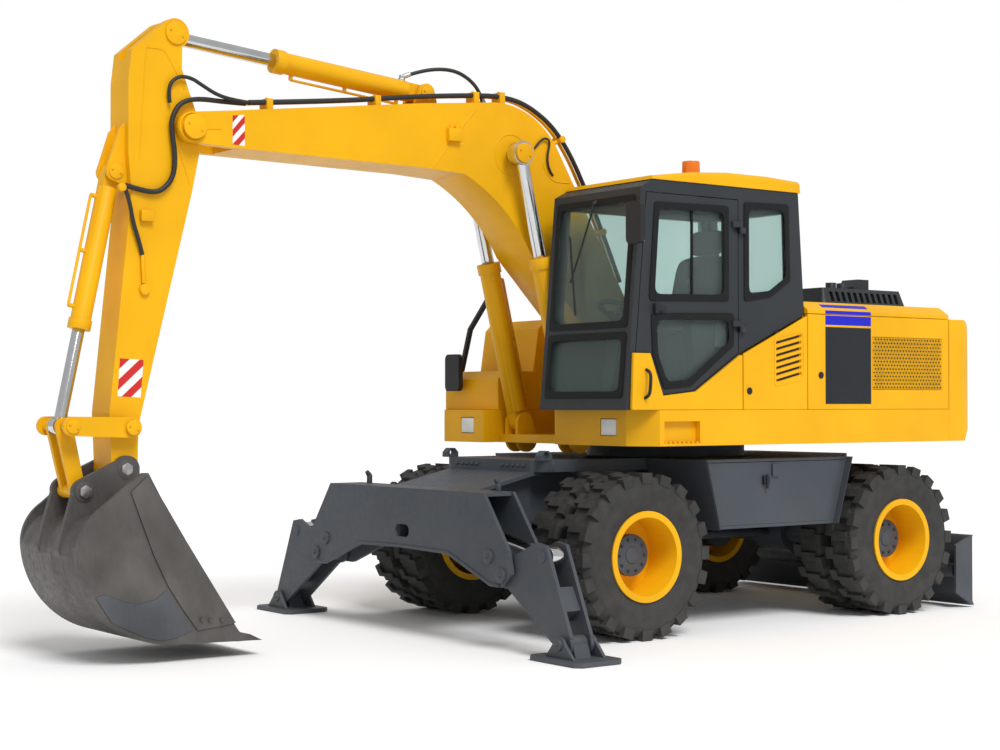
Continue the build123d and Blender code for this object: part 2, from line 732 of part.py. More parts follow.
hood_top = 2410
hood_slope = 20
cowl_x = (-1500, -1330)
cowl_y = (520, 680)
cowl_top = 2510
cup_spots = ((-1240, 640), (-1120, 640))
with BuildPart() as hood:
    with BuildSketch(level(cover_top + fit)) as lid:
        outline([(hood_x[0] - 20, hood_y[0] - 20), (hood_x[1] + 20, hood_y[0] - 20),
                 (hood_x[1] + 20, hood_y[1] + 20),
                 (hood_x[0] - 20, hood_y[1] + 20)])
        fillet(lid.vertices(), 60)
    extrude(amount=hood_top - cover_top - fit, taper=hood_slope)
    with BuildSketch(side(hood_y[1] + 20)):
        for i in range(12):
            with Locations((hood_x[0] + 95 + i * 64, (cover_top + hood_top) / 2)):
                Rectangle(34, 74)
    extrude(amount=75, mode=Mode.SUBTRACT)
    with BuildSketch(side(cowl_y[1])):
        outline([(cowl_x[0], hood_top - 5), (cowl_x[1], hood_top - 5), (cowl_x[1], cowl_top - 60),
                 (cowl_x[1] - 50, cowl_top), (cowl_x[0], cowl_top)])
    extrude(amount=cowl_y[1] - cowl_y[0])
    with BuildSketch(level(hood_top - 5)):
        for spot in cup_spots:
            disc(spot, 40)
    extrude(amount=70)
save(hood, "hood")

# Doors of the engine bay and of the box behind the cab
door_gap = 3
door_wall = 40
mid_front = 392
grille_x = (-1678, -906)
grille_z = (1656, 2038)
grille_depth = 8
grille_rows = 9
grille_slots = 6
rear_door = [(bay_front - door_gap, skirt_top + fit), (cover_seam + door_gap, skirt_top + fit),
             (cover_seam + door_gap, weight_top - door_gap), (bay_front - door_gap, weight_top - door_gap)]
for hand_name, hand in (("left", 1), ("right", -1)):
    with BuildPart() as panel:
        with BuildSketch(side(hand * upper_half)):
            outline(rear_door)
        extrude(amount=hand * door_wall)
        with BuildSketch(side(hand * upper_half)):
            outline([(grille_x[0], grille_z[0]), (grille_x[1], grille_z[0]), (grille_x[1], grille_z[1]),
                     (grille_x[0], grille_z[1])])
        extrude(amount=hand * grille_depth, mode=Mode.SUBTRACT)
        with BuildSketch(side(hand * (upper_half - grille_depth))):
            for i in range(grille_rows):
                row_z = grille_z[0] + (i + 0.5) * (grille_z[1] - grille_z[0]) / grille_rows
                for j in range(grille_slots - i % 2):
                    slot_x = grille_x[0] + (j + 0.5 + i % 2 / 2) * (grille_x[1] - grille_x[0]) / grille_slots
                    with Locations((slot_x, row_z)):
                        Rectangle(92, 20)
        extrude(amount=hand * (door_wall - grille_depth - 6), mode=Mode.SUBTRACT)
    save(panel, f"{hand_name}_rear_door")

mid_low = skirt_top + fit
mid_gap = 10
mid_rebate = 28  # the inner top edge is cut back, so that the door swings clear of the cab
mid_rebate_depth = 18
louvre_low = 1700
louvre_step = 44
louvre_height = 20
louvre_count = 7
diagonal = ((400, 1900), (-228, 2180))  # lower edge of the cab's rear half


def diagonal_at(x):
    (x0, z0), (x1, z1) = diagonal
    return z0 + (z1 - z0) * (x - x0) / (x1 - x0)


with BuildPart() as left_mid_door:
    with BuildSketch(side(upper_half)):
        outline([(mid_front, mid_low), (bay_front + door_gap, mid_low),
                 (bay_front + door_gap, diagonal_at(bay_front) - mid_gap),
                 (mid_front, diagonal_at(mid_front) - mid_gap)])
    extrude(amount=door_wall)
    with BuildSketch(side(upper_half - door_wall)):
        outline([(mid_front, diagonal_at(mid_front)), (bay_front + door_gap, diagonal_at(bay_front)),
                 (bay_front + door_gap, diagonal_at(bay_front) - mid_rebate),
                 (mid_front, diagonal_at(mid_front) - mid_rebate)])
    extrude(amount=-mid_rebate_depth, mode=Mode.SUBTRACT)
    with BuildSketch(side(upper_half)):
        for i in range(louvre_count):
            low = louvre_low + i * louvre_step
            outline([(75, low), (-172, low + 56), (-172, low + 56 + louvre_height),
                     (75, low + louvre_height)])
    extrude(amount=door_wall / 2, mode=Mode.SUBTRACT)
save(left_mid_door, "left_mid_door")

# Stepped boxes on the right, in front of the engine bay
with BuildPart() as right_boxes:
    with BuildSketch(side(-upper_half)):
        outline([(1150, skirt_top), (1150, 1740), (1080, 1800), (820, 1800), (770, 2120), (700, weight_top),
                 (bay_front + fit, weight_top), (bay_front + fit, skirt_top)])
    extrude(amount=-(upper_half + bay_right - 5))
save(right_boxes, "right_boxes")

# Cab
cab_floor = skirt_top
cab_front_low = (1429, cab_floor)
cab_front_top = (1295, 2985)
cab_top = 3040
cab_rear_top = (-170, cab_top)
door_rear = 412
front_slope = (cab_front_top[0] - cab_front_low[0]) / (cab_front_top[1] - cab_front_low[1])


def front_at(z):
    return cab_front_low[0] + front_slope * (z - cab_floor)


cab_outline = [cab_front_low, cab_front_top, (1190, cab_top), cab_rear_top, diagonal[1], diagonal[0],
               (diagonal[0][0], cab_floor)]
cab_inside = [(front_at(cab_floor + 60) - 62, cab_floor + 60), (front_at(2960) - 62, 2960), (-105, 2960),
              (-160, 2225), (460, 1945), (460, cab_floor + 60)]
# The door's lower edge runs round the panel at the front corner and up the slant behind
door_edge = [(1238, 1885), (1162, 1695), (1125, 1605), (829, 1635)]
door_opening = [(front_at(1885) - 45, 1885)] + door_edge + [(412, 1897), (door_rear, 2955),
                                                            (front_at(2955) - 45, 2955)]
quarter = [(350, 2930), (-60, 2940), (-75, 2420), (110, 2305), (350, 2265)]
right_pane = [(front_at(2050) - 120, 2050), (front_at(2900) - 120, 2900), (-60, 2900), (-60, 2330),
              (460, 2050)]
screen_z = ((1600, 2015), (2065, 2925))
screen_y = (cab_right + 55, cab_left - 55)
rear_pane_z = (2340, 2900)
# Door hinges outside the rear door post: brackets with pins on the shell, eyes on the door
hinge_axis = (door_rear - 2, cab_left + 24)
hinge_z = (2080, 2760)
hinge_eye = 14
hinge_pin = 7
hinge_tall = 40
with BuildPart() as cab_shell:
    with BuildSketch(side(cab_left)):
        outline(cab_outline)
    extrude(amount=cab_left - cab_right)
    with BuildSketch(side(cab_left - cab_wall)):
        outline(cab_inside)
    extrude(amount=cab_left - cab_right - cab_wall - 45, mode=Mode.SUBTRACT)
    with BuildSketch(side(cab_left + 10)):
        outline(door_opening)
        outline(quarter)
    extrude(amount=cab_wall + 20, mode=Mode.SUBTRACT)
    with BuildSketch(side(cab_right - 10)):
        outline(right_pane)
    extrude(amount=-70, mode=Mode.SUBTRACT)
    with BuildSketch(cross(1600)):
        for low, high in screen_z:
            with Locations(((screen_y[0] + screen_y[1]) / 2, (low + high) / 2)):
                Rectangle(screen_y[1] - screen_y[0], high - low)
    extrude(amount=-700, mode=Mode.SUBTRACT)
    with BuildSketch(cross(-400)):
        with Locations(((screen_y[0] + screen_y[1]) / 2, sum(rear_pane_z) / 2)):
            Rectangle(screen_y[1] - screen_y[0] - 60, rear_pane_z[1] - rear_pane_z[0])
    extrude(amount=450, mode=Mode.SUBTRACT)
    for z in hinge_z:
        with BuildSketch(level(z)):
            strap(hinge_axis, (hinge_axis[0] - 40, cab_left + 10), hinge_eye, hinge_eye)
        extrude(amount=-hinge_tall)
        with BuildSketch(level(z)):
            disc(hinge_axis, hinge_pin)
        extrude(amount=hinge_tall + 10)
save(cab_shell, "cab_shell")

roof_top = 3136
roof_low = cab_top + fit
roof_round = 35
with BuildPart() as cab_roof:
    with BuildSketch(side(cab_left + 8)):
        outline([(-185, roof_low), (1200, roof_low), (1190, 3066), (845, 3112), (502, roof_top),
                 (120, roof_top),
                 (-175, 3122)])
    extrude(amount=cab_left - cab_right + 16)
    fillet(cab_roof.edges().filter_by(Axis.X).group_by(Axis.Z)[-1], roof_round)
save(cab_roof, "cab_roof")

glass = 8
glass_set = 25


def front_pane(low, high):
    return [(front_at(low) - glass_set, low), (front_at(high) - glass_set, high),
            (front_at(high) - glass_set - glass, high), (front_at(low) - glass_set - glass, low)]


def rear_at(z):
    (x0, z0), (x1, z1) = diagonal[1], cab_rear_top
    return x0 + (z - z0) * (x1 - x0) / (z1 - z0)


with BuildPart() as cab_glass:
    for low, high in screen_z:
        with BuildSketch(side(screen_y[1] - fit)):
            outline(front_pane(low + fit, high - fit))
        extrude(amount=screen_y[1] - screen_y[0] - 2 * fit)
    with BuildSketch(side(cab_left - glass_set)) as pane:
        outline(quarter)
        offset(amount=-fit, kind=Kind.INTERSECTION, mode=Mode.REPLACE)
    extrude(amount=glass)
    with BuildSketch(side(cab_right + glass_set)) as pane:
        outline(right_pane)
        offset(amount=-fit, kind=Kind.INTERSECTION, mode=Mode.REPLACE)
    extrude(amount=glass)
    low, high = rear_pane_z[0] + fit, rear_pane_z[1] - fit
    with BuildSketch(side(screen_y[1] - 30 - fit)):
        outline([(rear_at(low) + glass_set, low), (rear_at(high) + glass_set, high),
                 (rear_at(high) + glass_set + glass, high), (rear_at(low) + glass_set + glass, low)])
    extrude(amount=screen_y[1] - screen_y[0] - 60 - 2 * fit)
save(cab_glass, "cab_glass")

door_upper = [(1219, 2243), (1170, 2880), (519, 2892), (519, 2262)]
door_lower = [(1200, 2140), (475, 2160), (475, 1955), (868, 1680), (1095, 1660), (1120, 1720), (1190, 1880)]
with BuildPart() as cab_door:
    with BuildSketch(side(cab_left)):
        outline(door_opening)
        offset(amount=-run_gap, kind=Kind.INTERSECTION, mode=Mode.REPLACE)
        outline(door_upper, Mode.SUBTRACT)
        outline(door_lower, Mode.SUBTRACT)
    extrude(amount=cab_wall)
    for z in hinge_z:
        with BuildSketch(level(z + fit)):
            strap(hinge_axis, (hinge_axis[0] + 55, cab_left + 10), hinge_eye, hinge_eye)
            disc(hinge_axis, hinge_pin + pin_fit, Mode.SUBTRACT)
        extrude(amount=hinge_tall)
save(cab_door, "cab_door")

with BuildPart() as door_glass:
    for shape in (door_upper, door_lower):
        with BuildSketch(side(cab_left - glass_set)) as pane:
            outline(shape)
            offset(amount=-fit, kind=Kind.INTERSECTION, mode=Mode.REPLACE)
        extrude(amount=glass)
save(door_glass, "door_glass")

# Panel outside the cab's lower wall, round the door's lower edge
panel_wall = upper_half - cab_left - 2 * fit
with BuildPart() as cab_panel:
    with BuildSketch(side(cab_left + fit + panel_wall)):
        outline([(cab_front_low[0] - 30, cab_floor + fit), (front_at(1885) - 12, 1885)] + door_edge + [
            (diagonal[0][0] + 20, 1885), (diagonal[0][0], 1885), (diagonal[0][0], cab_floor + fit)])
    extrude(amount=panel_wall)
save(cab_panel, "cab_panel")

# Seat and controls
seat_y = (cab_left + cab_right) / 2
floor_z = cab_floor + 60
cushion_z = 2040
with BuildPart() as seat:
    with BuildSketch(side(seat_y)):
        outline([(500, floor_z), (760, floor_z), (740, cushion_z), (520, cushion_z)])
    extrude(amount=150, both=True)
    with BuildSketch(side(seat_y)):
        outline([(390, cushion_z), (860, cushion_z), (870, cushion_z + 105), (480, cushion_z + 95),
                 (370, cushion_z + 560), (240, cushion_z + 560), (320, cushion_z + 60)])
    extrude(amount=240, both=True)
    with BuildSketch(side(seat_y)):
        outline([(250, cushion_z + 560), (350, cushion_z + 560), (320, cushion_z + 740),
                 (215, cushion_z + 740)])
    extrude(amount=130, both=True)
save(seat, "seat")

with BuildPart() as console:
    for hand in (-1, 1):
        with BuildSketch(side(seat_y + hand * 300)):
            outline([(560, floor_z), (700, floor_z), (760, 2180), (560, 2230), (520, 2150)])
        extrude(amount=45, both=True)
    with BuildSketch(side(seat_y)):
        outline([(1130, floor_z), (1230, floor_z), (1120, 2160), (1040, 2160)])
    extrude(amount=55, both=True)
    with BuildSketch(Plane(origin=(base_x + 1060, seat_y, 2160), z_dir=(-0.5, 0, 1))):
        Circle(185)
        Circle(155, mode=Mode.SUBTRACT)
        Rectangle(36, 320)
        Circle(45)
    extrude(amount=28)
save(console, "console")

# Mirrors with their stays, the rail on the right, lamps and the beacon
mirror_z = (1790, 2740)
mirror_y = (-upper_half + 205, upper_half - 5)
mirror_x = (1195, 1345)
stay_radius = 16
rail_y = -upper_half + 65
with BuildPart() as mirrors:
    with BuildSketch(cross(1150 + fit)):
        disc((mirror_y[0], 1700), stay_radius)
    extrude(amount=mirror_x[0] - 1150)
    with BuildSketch(cross(mirror_x[0])):
        with Locations((mirror_y[0], mirror_z[0])):
            RectangleRounded(180, 280, 40)
    extrude(amount=40)
    with BuildSketch(cross(front_at(mirror_z[1] - stay_radius) + fit)):
        disc((cab_left - 30, mirror_z[1]), stay_radius)
    extrude(amount=mirror_x[1] - front_at(mirror_z[1]) + 10)
    with BuildSketch(cross(mirror_x[1])):
        with Locations((mirror_y[1], mirror_z[1])):
            RectangleRounded(150, 280, 40)
    extrude(amount=40)
    with BuildSketch(side(rail_y)):
        strap((1040, 1800 + stay_radius + fit), (960, 2130), stay_radius, stay_radius)
        strap((960, 2130), (700, 2500), stay_radius, stay_radius)
        strap((700, 2500), (600, weight_top + stay_radius + fit), stay_radius, stay_radius)
    extrude(amount=stay_radius, both=True)
save(mirrors, "mirrors")

beacon = (560, 900)
with BuildPart() as lamps:
    for y in lamp_y:
        with BuildSketch(cross(upper_front - lamp_depth)):
            with Locations((y, lamp_z)):
                Rectangle(lamp_size[0] - 10, lamp_size[1] - 10)
        extrude(amount=lamp_depth - 8)
    with BuildSketch(level(roof_top + fit)):
        disc(beacon, 58)
    extrude(amount=100)
save(lamps, "lamps")

# Boom: a bent box with a fork at its nose and lugs for the cylinder of the stick
stick_clear = 10
lug_half = 50
nose_radius = 95
nose_slot = 3660
nose_high = (stick_pivot[0], stick_pivot[1] + nose_radius)
nose_low = (stick_pivot[0], stick_pivot[1] - nose_radius)
with BuildPart() as boom:
    with BuildSketch(side(arm_y)):
        with BuildLine():
            Polyline(nose_high, (3700, 3400), (2280, 3587), (1660, 3655))
            ThreePointArc((1660, 3655), (1300, 3575), (1090, 3372))
            Polyline((1090, 3372), (235, 1960), (235, 1760), (480, 1740), (1330, 2610))
            ThreePointArc((1330, 2610), (1590, 2930), (1905, 3136))
            Polyline((1905, 3136), (2220, 3152), (3700, 3166), nose_low)
            ThreePointArc(nose_low, (stick_pivot[0] + nose_radius, stick_pivot[1]), nose_high)
        make_face()
    extrude(amount=boom_half, both=True)
    with BuildSketch(side(arm_y)):
        disc(boom_foot, foot_pin_radius + pin_fit)
    extrude(amount=boom_half + 10, both=True, mode=Mode.SUBTRACT)
    with BuildSketch(side(arm_y)):
        outline([(nose_slot, 2900), (4300, 2900), (4300, 3700), (nose_slot, 3700)])
    extrude(amount=stick_half + stick_clear, both=True, mode=Mode.SUBTRACT)
    with BuildSketch(side(arm_y)):
        disc(stick_pivot, 44)
    extrude(amount=boom_half + 20, both=True)
    for hand in (-1, 1):
        with BuildSketch(side(arm_y + hand * (lug_half + 20))):
            strap(stick_base_pin, (stick_base_pin[0] + 5, stick_base_pin[1] - 148), 65, 105)
        extrude(amount=18, both=True)
    with BuildSketch(side(arm_y)):
        disc(stick_base_pin, 35)
    extrude(amount=lug_half + 40, both=True)
save(boom, "boom")

boom_spots = [arm_y - boom_cylinder_side, arm_y + boom_cylinder_side]
boom_rod = 46
boom_barrels = barrel(side, boom_spots, boom_cylinder, boom_rod_pin, 1190, 90, 75, boom_rod + fit, 46, 40)
save(boom_barrels, "boom_barrels")
boom_rod_length = 1180
with BuildPart() as boom_rods:
    add(rod(side, boom_spots, boom_cylinder, boom_rod_pin, boom_rod_length, boom_rod, 45, 85, 0).part)
    for hand in (-1, 1):
        with BuildSketch(side(arm_y + hand * (boom_half + 5))):
            disc(boom_rod_pin, 48)
        extrude(amount=-hand * (boom_cylinder_side - boom_half - 5))
save(boom_rods, "boom_rods")

# Stick: a tapering box with ears for the rod at its top
slot_half = 50
with BuildPart() as stick:
    with BuildSketch(side(arm_y)):
        outline([(4010, 3860), (4013, 3637), (3916, 3378), (3887, 3143), (3942, 2875), (4300, 1420),
                 (4305, 1160),
                 (4475, 1160), (4490, 1500), (4365, 2700), (4350, 2850), (4372, 3100), (4372,
                                                                                        3540), (4350, 3725),
                 (4110, 3935)])
        disc(stick_rod_pin, 92)
        disc(stick_pivot, 118)
        disc(bucket_pin, 85)
        for hole, radius in ((stick_pivot, 44), (bucket_pin, 38), (rocker_pin, 32)):
            disc(hole, radius + pin_fit, Mode.SUBTRACT)
    extrude(amount=stick_half, both=True)
    with BuildSketch(side(arm_y)):
        outline([(3700, 3680), (4500, 3680), (4500, 4000), (3700, 4000)])
    extrude(amount=slot_half, both=True, mode=Mode.SUBTRACT)
    for hand in (-1, 1):
        with BuildSketch(side(arm_y + hand * (slot_half + 18))):
            strap(bucket_base_pin, (4290, 2980), 60, 110)
            outline([(4330, 3330), (4410, 3230), (4485, 3000), (4330, 2900)])
        extrude(amount=14, both=True)
    with BuildSketch(side(arm_y)):
        disc(bucket_base_pin, 32)
    extrude(amount=slot_half + 32, both=True)
save(stick, "stick")

arm_rod = 43
stick_barrel = barrel(side, [arm_y], stick_base_pin, stick_rod_pin, 1160, 130, 70, arm_rod + fit, 44, 35)
save(stick_barrel, "stick_barrel")
stick_rod = rod(side, [arm_y], stick_base_pin, stick_rod_pin, 1080, arm_rod, 43, 68, 0)
save(stick_rod, "stick_rod")

# Bucket linkage; the rocker runs outside the ears of the bucket
rocker_plate = 28
eye_half = 42
ear_inner = stick_half + run_gap
ear_plate = 40
rocker_inner = ear_inner + ear_plate + 8
with BuildPart() as rocker_links:
    for hand in (-1, 1):
        with BuildSketch(side(arm_y + hand * (rocker_inner + rocker_plate / 2))):
            strap(rocker_pin, rod_pin, 62, 58)
        extrude(amount=rocker_plate / 2, both=True)
        with BuildSketch(side(arm_y + hand * ear_inner)):
            disc(rocker_pin, 50)
        extrude(amount=-hand * (rocker_inner - ear_inner))
        with BuildSketch(side(arm_y + hand * (eye_half + 5))):
            disc(rod_pin, 30)
        extrude(amount=-hand * (rocker_inner - eye_half))
    with BuildSketch(side(arm_y)):
        disc(rocker_pin, 32)
    extrude(amount=rocker_inner + rocker_plate + 15, both=True)
save(rocker_links, "rocker_links")

link_plate = 32
link_inner = eye_half + 10
with BuildPart() as bucket_link:
    for hand in (-1, 1):
        with BuildSketch(side(arm_y + hand * (link_inner + link_plate / 2))):
            strap(rod_pin, link_pin, 52, 46)
            disc(rod_pin, 30 + pin_fit, Mode.SUBTRACT)
        extrude(amount=link_plate / 2, both=True)
    with BuildSketch(side(arm_y)):
        disc(link_pin, 46)
    extrude(amount=ear_inner - 8, both=True)
save(bucket_link, "bucket_link")

tip_rod = 38
bucket_barrel = barrel(side, [arm_y], bucket_base_pin, rod_pin, 990, 100, 62, tip_rod + fit, 44, 32)
save(bucket_barrel, "bucket_barrel")
bucket_rod = rod(side, [arm_y], bucket_base_pin, rod_pin, 1030, tip_rod, eye_half, 56, 0)
save(bucket_rod, "bucket_rod")

# Bucket: a curved wrapper between two side plates, with ears for the stick and the link
lip = (3615, 95)
mouth_top = (4306, 1000)
floor_end = (4205, 112)
back_low = (4822, 700)
back_high = (4640, 890)
roof_mid = (4500, 945)
roof_front = (4284, 965)
with BuildPart() as bucket:
    with BuildSketch(side(arm_y)):
        with BuildLine():
            Line(lip, floor_end)
            ThreePointArc(floor_end, (4640, 290), back_low)
            ThreePointArc(back_low, (4765, 815), back_high)
            Polyline(back_high, roof_mid, roof_front, (3800, 190), (3770, 150), lip)
        make_face()
    extrude(amount=bucket_half, both=True)
    with BuildSketch(side(arm_y)):
        with BuildLine():
            Line((3500, 140), (4205, 142))
            ThreePointArc((4205, 142), (4618, 312), (4792, 700))
            ThreePointArc((4792, 700), (4742, 795), (4628, 862))
            Polyline((4628, 862), (4494, 915), (4200, 935), (3500, 140))
        make_face()
    extrude(amount=bucket_half - bucket_wall, both=True, mode=Mode.SUBTRACT)
    for hand in (-1, 1):
        with BuildSketch(side(arm_y + hand * bucket_half)):
            with BuildLine():
                Line(lip, floor_end)
                ThreePointArc(floor_end, (4640, 290), back_low)
                ThreePointArc(back_low, (4785, 840), (4690, 940))
                Polyline((4690, 940), (4560, 1045), (4420, 1143), (4385, 1143), mouth_top, (3800, 190),
                         (3770, 150), lip)
            make_face()
        extrude(amount=hand * bucket_wall)
        with BuildSketch(side(arm_y + hand * (ear_inner + ear_plate / 2))):
            outline([(4300, 945), (bucket_pin[0] - 80, bucket_pin[1]), (bucket_pin[0], bucket_pin[1] + 80),
                     (link_pin[0] + 30, link_pin[1] + 70), (4745, 1010), (4838, 690), (4812, 640), (4800,
                                                                                                    700),
                     (4745, 805), (4625, 875), (4490, 925)])
            disc(bucket_pin, 82)
            disc(link_pin, 76)
        extrude(amount=ear_plate / 2, both=True)
    with BuildSketch(side(arm_y)):
        disc(bucket_pin, 38)
    extrude(amount=ear_inner + ear_plate + 2, both=True)
save(bucket, "bucket")
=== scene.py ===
import bpy
import bmesh
import json
from math import cos, pi, radians, sin, tan
from mathutils import Matrix, Vector


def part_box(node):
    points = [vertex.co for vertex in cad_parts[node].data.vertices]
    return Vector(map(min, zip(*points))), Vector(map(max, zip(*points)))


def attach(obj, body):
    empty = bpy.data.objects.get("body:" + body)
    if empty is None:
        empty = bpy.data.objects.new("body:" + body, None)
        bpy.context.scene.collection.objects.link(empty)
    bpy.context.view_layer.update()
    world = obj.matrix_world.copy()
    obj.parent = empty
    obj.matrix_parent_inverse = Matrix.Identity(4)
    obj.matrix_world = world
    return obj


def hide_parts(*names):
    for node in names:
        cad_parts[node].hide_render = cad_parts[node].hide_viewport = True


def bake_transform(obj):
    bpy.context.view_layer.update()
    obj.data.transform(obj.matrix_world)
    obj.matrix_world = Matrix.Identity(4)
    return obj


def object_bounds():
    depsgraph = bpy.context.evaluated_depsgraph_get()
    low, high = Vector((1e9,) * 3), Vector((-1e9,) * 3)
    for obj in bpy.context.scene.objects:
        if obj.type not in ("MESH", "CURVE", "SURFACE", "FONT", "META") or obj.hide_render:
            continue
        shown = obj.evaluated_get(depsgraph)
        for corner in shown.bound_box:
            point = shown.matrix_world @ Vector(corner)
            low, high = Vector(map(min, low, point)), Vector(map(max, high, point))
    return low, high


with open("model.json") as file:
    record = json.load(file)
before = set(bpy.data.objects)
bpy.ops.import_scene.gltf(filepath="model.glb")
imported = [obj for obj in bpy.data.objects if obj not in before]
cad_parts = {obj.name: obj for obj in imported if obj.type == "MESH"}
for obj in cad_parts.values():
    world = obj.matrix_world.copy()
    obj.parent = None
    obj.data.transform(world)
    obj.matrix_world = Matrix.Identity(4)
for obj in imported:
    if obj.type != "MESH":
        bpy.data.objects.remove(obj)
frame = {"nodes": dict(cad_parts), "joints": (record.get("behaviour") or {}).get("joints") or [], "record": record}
nodes = frame["nodes"]
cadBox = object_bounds()
scene = bpy.context.scene
scene.view_settings.view_transform = "Standard"
swingX = [j for j in frame["joints"] if j["name"] == "swing"][0]["pos_m"][0]
sides = (("left", 1), ("right", -1))
print("frame loaded:", len(nodes), "nodes")


# A point given in millimetres, x forward from the swing centre, y to the left, z up
def at(x, y, z):
    return Vector((x / 1000 + swingX, y / 1000, z / 1000))


# Materials: every finish gets its own colour drift, roughness and fine bump

def newFinish(name, roughness, metallic=0.0, **sockets):
    mat = bpy.data.materials.new(name)
    mat.use_nodes = True
    tree = mat.node_tree
    shader = tree.nodes["Principled BSDF"]
    shader.inputs["Roughness"].default_value = roughness
    shader.inputs["Metallic"].default_value = metallic
    for key, value in sockets.items():
        shader.inputs[key.replace("_", " ")].default_value = value
    coords = tree.nodes.new("ShaderNodeTexCoord").outputs["Object"]
    return mat, tree, shader, coords


def noiseNode(tree, coords, scale, detail=4.0, stretch=None):
    if stretch:
        mapping = tree.nodes.new("ShaderNodeMapping")
        mapping.inputs["Scale"].default_value = stretch
        tree.links.new(coords, mapping.inputs["Vector"])
        coords = mapping.outputs["Vector"]
    noise = tree.nodes.new("ShaderNodeTexNoise")
    noise.inputs["Scale"].default_value = scale
    noise.inputs["Detail"].default_value = detail
    tree.links.new(coords, noise.inputs["Vector"])
    return noise.outputs["Fac"]


def rampNode(tree, factor, stops):
    ramp = tree.nodes.new("ShaderNodeValToRGB")
    while len(ramp.color_ramp.elements) < len(stops):
        ramp.color_ramp.elements.new(0.5)
    for element, (place, color) in zip(ramp.color_ramp.elements, stops):
        element.position = place
        element.color = (*color, 1)
    tree.links.new(factor, ramp.inputs["Fac"])
    return ramp.outputs["Color"]


def rangeNode(tree, factor, low, high, fromLow=0.3, fromHigh=0.7):
    node = tree.nodes.new("ShaderNodeMapRange")
    for key, value in (("From Min", fromLow), ("From Max", fromHigh), ("To Min", low), ("To Max", high)):
        node.inputs[key].default_value = value
    tree.links.new(factor, node.inputs["Value"])
    return node.outputs["Result"]


def bumpNode(tree, shader, height, strength, distance):
    bump = tree.nodes.new("ShaderNodeBump")
    bump.inputs["Strength"].default_value = strength
    bump.inputs["Distance"].default_value = distance
    tree.links.new(height, bump.inputs["Height"])
    tree.links.new(bump.outputs["Normal"], shader.inputs["Normal"])


def mixColor(tree, factor, a, b):
    mix = tree.nodes.new("ShaderNodeMix")
    mix.data_type = "RGBA"
    tree.links.new(factor, mix.inputs["Factor"])
    for socket, value in ((mix.inputs["A"], a), (mix.inputs["B"], b)):
        if isinstance(value, tuple):
            socket.default_value = (*value, 1)
        else:
            tree.links.new(value, socket)
    return mix.outputs["Result"]


# Dust settles towards the ground: full at the low height, gone at the high one
def dustFactor(tree, coords, low, high, most):
    split = tree.nodes.new("ShaderNodeSeparateXYZ")
    tree.links.new(coords, split.inputs["Vector"])
    height = rangeNode(tree, split.outputs["Z"], most, 0.0, low, high)
    patches = rangeNode(tree, noiseNode(tree, coords, 5.0, 6.0), 0.3, 1.0)
    times = tree.nodes.new("ShaderNodeMath")
    times.operation = "MULTIPLY"
    tree.links.new(height, times.inputs[0])
    tree.links.new(patches, times.inputs[1])
    return times.outputs["Value"]


def paintFinish(name, color, roughness, dust=0.0, **sockets):
    mat, tree, shader, coords = newFinish(name, roughness, **sockets)
    dark = tuple(c * 0.92 for c in color)
    light = tuple(min(1, c * 1.06) for c in color)
    shade = rampNode(tree, noiseNode(tree, coords, 1.6), [(0.35, dark), (0.65, light)])
    if dust:
        shade = mixColor(tree, dustFactor(tree, coords, 0.05, 1.3, dust), shade, (0.30, 0.26, 0.21))
    tree.links.new(shade, shader.inputs["Base Color"])
    gloss = rangeNode(tree, noiseNode(tree, coords, 22.0, 6.0), roughness - 0.06, roughness + 0.08)
    tree.links.new(gloss, shader.inputs["Roughness"])
    bumpNode(tree, shader, noiseNode(tree, coords, 260.0, 2.0), 0.05, 0.002)
    mat.diffuse_color = (*color, 1)
    return mat


def steelFinish(name, stops, roughness, metallic):
    mat, tree, shader, coords = newFinish(name, roughness, metallic)
    streaks = noiseNode(tree, coords, 4.0, 10.0, (1.0, 1.6, 0.8))
    tree.links.new(rampNode(tree, streaks, stops), shader.inputs["Base Color"])
    scuffs = noiseNode(tree, coords, 60.0, 8.0, (1.0, 1.0, 0.25))
    tree.links.new(rangeNode(tree, scuffs, roughness - 0.15, roughness + 0.15), shader.inputs["Roughness"])
    bumpNode(tree, shader, scuffs, 0.25, 0.003)
    mat.diffuse_color = (*stops[0][1], 1)
    return mat


def plainFinish(name, color, roughness, grain, metallic=0.0, **sockets):
    mat, tree, shader, coords = newFinish(name, roughness, metallic, **sockets)
    dark = tuple(c * 0.85 for c in color)
    tree.links.new(rampNode(tree, noiseNode(tree, coords, 9.0), [(0.3, dark), (0.7, color)]),
                   shader.inputs["Base Color"])
    bumpNode(tree, shader, noiseNode(tree, coords, grain, 3.0), 0.12, 0.002)
    mat.diffuse_color = (*color, 1)
    return mat


def rubberFinish():
    mat, tree, shader, coords = newFinish("tyreRubber", 0.78)
    base = rampNode(tree, noiseNode(tree, coords, 12.0, 6.0),
                    [(0.3, (0.016, 0.016, 0.016)), (0.7, (0.034, 0.033, 0.032))])
    base = mixColor(tree, dustFactor(tree, coords, 0.0, 1.1, 0.16), base, (0.15, 0.14, 0.13))
    tree.links.new(base, shader.inputs["Base Color"])
    bumpNode(tree, shader, noiseNode(tree, coords, 140.0, 5.0), 0.2, 0.002)
    mat.diffuse_color = (0.02, 0.02, 0.02, 1)
    return mat


def glassFinish():
    mat, tree, shader, coords = newFinish("tintedGlass", 0.02, Transmission_Weight=0.94, IOR=1.2)
    tint = rampNode(tree, noiseNode(tree, coords, 0.8), [(0.3, (0.60, 0.73, 0.70)), (0.7, (0.66, 0.79, 0.76))])
    tree.links.new(tint, shader.inputs["Base Color"])
    mat.diffuse_color = (0.5, 0.6, 0.56, 0.5)
    return mat


